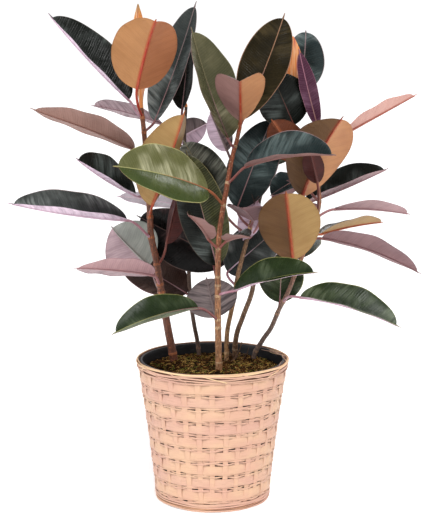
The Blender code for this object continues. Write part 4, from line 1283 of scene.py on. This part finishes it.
def moss_curls(dice, surface):
    """Short curled fronds of dry moss, thin bark chips and a few green tufts."""
    piece = Piece("moss_curls", [MOSS_OCHRE, MOSS_GREEN, MOSS_BROWN])
    for _ in range(2300):
        angle = dice.uniform(0, math.tau)
        radius = MOSS_RADIUS * 0.97 * math.sqrt(dice.random())
        x, y = radius * math.cos(angle), radius * math.sin(angle)
        turn = dice.uniform(0, math.tau)
        curl = dice.uniform(90, 330)
        size = dice.uniform(0.0016, 0.0042)
        lean = dice.uniform(0.1, 0.9)
        centre = Vector((x, y, surface(x, y) + dice.uniform(-0.0006, 0.0012)))
        path = []
        for i in range(7):
            a = turn + math.radians(curl) * i / 6
            path.append(centre + Vector((math.cos(a), math.sin(a) * lean, math.sin(a + 0.6) * (1 - lean) * 0.7)) * size)
        thick = dice.uniform(0.00028, 0.0006)
        if max(math.hypot(p.x, p.y) for p in path) > MOSS_RADIUS:
            continue
        slot = dice.choices((0, 1, 2), MOSS_SHARES[0 if patchy(x, y) > 0.1 else 1])[0]
        piece.tube(rings_along(path, lambda i: thick * (1 - 0.1 * i), 4), slot)
    for _ in range(420):
        angle = dice.uniform(0, math.tau)
        radius = MOSS_RADIUS * 0.95 * math.sqrt(dice.random())
        x, y = radius * math.cos(angle), radius * math.sin(angle)
        chip = dice.uniform(0.002, 0.0052)
        turn = dice.uniform(0, math.tau)
        along = Vector((math.cos(turn), math.sin(turn), dice.uniform(-0.3, 0.3))) * chip
        base = Vector((x, y, surface(x, y) + 0.0006))
        path = [base - along, base - along * 0.3, base + along * 0.4, base + along]
        wide = chip * dice.uniform(0.3, 0.6)
        piece.tube(rings_along(path, lambda i: wide * (0.6, 1, 0.9, 0.5)[i], 5, 0.4), 2)
    piece.done("moss", sharp=35)


def soil():
    node = frame["nodes"]["soil"]
    node.data.materials.clear()
    node.data.materials.append(MOSS_DARK)


def floor():
    bpy.ops.mesh.primitive_circle_add(vertices=128, radius=30, fill_type="NGON", location=(0, 0, -0.0004))
    ground = bpy.context.object
    ground.name = "floor"
    shader = Shader("pale_floor", roughness=0.9, specular=0.1)
    shader.set("Base Color", (0.93, 0.93, 0.93, 1))
    shader.set("Emission Color", (1, 1, 1, 1))
    shader.set("Emission Strength", 0.35)
    ground.data.materials.append(shader.material)


def sky():
    """An even pale surround that is dimmer overhead, so that the leaves keep their depth."""
    world = bpy.data.worlds.new("studio")
    world.use_nodes = True
    tree = world.node_tree
    place = tree.nodes.new("ShaderNodeTexCoord")
    parts = tree.nodes.new("ShaderNodeSeparateXYZ")
    ramp = tree.nodes.new("ShaderNodeValToRGB")
    tree.links.new(place.outputs["Generated"], parts.inputs[0])
    tree.links.new(parts.outputs[2], ramp.inputs[0])
    tree.links.new(ramp.outputs[0], tree.nodes["Background"].inputs["Color"])
    ramp.color_ramp.elements[0].position = 0.06
    ramp.color_ramp.elements[0].color = (1, 1, 1, 1)
    ramp.color_ramp.elements[1].position = 0.3
    ramp.color_ramp.elements[1].color = (0.36, 0.36, 0.37, 1)
    tree.nodes["Background"].inputs["Strength"].default_value = SKY_STRENGTH
    bpy.context.scene.world = world


def soft_light(name, location, size, power, colour=(1, 1, 1)):
    light = bpy.data.lights.new(name, "AREA")
    light.shape = "DISK"
    light.size = size
    light.energy = power
    light.color = colour
    obj = bpy.data.objects.new(name, light)
    obj.location = location
    obj.rotation_euler = (Vector((0, 0, 0.5)) - obj.location).to_track_quat("-Z", "Y").to_euler()
    bpy.context.scene.collection.objects.link(obj)


def sun_light(name, towards, spread, strength):
    """Broad, parallel light that keeps the floor as pale far away as it is near the basket."""
    light = bpy.data.lights.new(name, "SUN")
    light.angle = math.radians(spread)
    light.energy = strength
    obj = bpy.data.objects.new(name, light)
    obj.rotation_euler = (-Vector(towards)).to_track_quat("-Z", "Y").to_euler()
    bpy.context.scene.collection.objects.link(obj)


def camera():
    lens = bpy.data.cameras.new("camera")
    lens.lens = CAMERA_LENS
    lens.sensor_width = 36
    obj = bpy.data.objects.new("camera", lens)
    obj.location = (0, -CAMERA_DISTANCE, CAMERA_HEIGHT)
    obj.rotation_euler = (math.radians(90 - CAMERA_PITCH), 0, 0)
    bpy.context.scene.collection.objects.link(obj)
    bpy.context.scene.camera = obj


def studio():
    floor()
    sky()
    sun_light("sun_light", (0.12, -0.6, 0.8), 28, SUN_STRENGTH)
    soft_light("left_light", (-2.3, -0.8, 1.2), 1.0, 15, (0.9, 0.92, 1))
    soft_light("back_light", (0.9, 2.0, 2.2), 1.4, 22)
    bpy.context.scene.view_settings.view_transform = "Standard"


CAMERA_DISTANCE = 2.43
CAMERA_HEIGHT = 0.83
CAMERA_PITCH = 8.7
CAMERA_LENS = 92.06
SKY_STRENGTH = 1.05
SUN_STRENGTH = 2.2

for startup in ("Cube", "Light", "Camera"):
    if startup in bpy.data.objects:
        bpy.data.objects.remove(bpy.data.objects[startup], do_unlink=True)

BAMBOO = bamboo_material("bamboo", (221, 181, 149), (216, 171, 146), (162, 112, 84))
BAMBOO_PINK = bamboo_material("bamboo_pink", (219, 177, 151), (214, 168, 147), (128, 82, 62), 1.2)
BAMBOO_STAKE = bamboo_material("bamboo_stake", (221, 180, 149), (215, 169, 146), (168, 120, 92), 0.7)
BAMBOO_FINE = bamboo_material("bamboo_fine", (224, 184, 153), (214, 169, 146), (112, 68, 46), 1.3)
BAMBOO_CREAM = bamboo_material("bamboo_cream", (244, 214, 168), (234, 194, 154), (160, 108, 70))
BAMBOO_FOOT = bamboo_material("bamboo_foot", (198, 150, 116), (178, 128, 102), (80, 44, 30), 1.4)
# A darker copy of the bamboo: painted shade for the hoops that lie behind the bound splints of the rim and the foot.
BAMBOO_PAINTED_SHADE = bamboo_material("bamboo_shade", (120, 78, 56), (96, 60, 44), (40, 22, 14))
BLACK_POT = pot_material()
YOUNG_LEAF = young_leaf_material()
MOSS_DARK = crumb_material("moss_dark", ((28, 18, 8), (44, 32, 14), (18, 13, 6)))
MOSS_OCHRE = crumb_material("moss_ochre", ((180, 132, 60), (122, 82, 30), (226, 188, 118)))
MOSS_GREEN = crumb_material("moss_green", ((112, 114, 34), (68, 70, 18), (172, 168, 86)))
MOSS_BROWN = crumb_material("moss_brown", ((70, 42, 20), (46, 28, 14), (98, 66, 36)))

studio()
camera()
leaves()
stems()
twigs()
basket()
pot()
soil()
moss_dice = random.Random(33)
moss_curls(moss_dice, moss_mat(moss_dice))
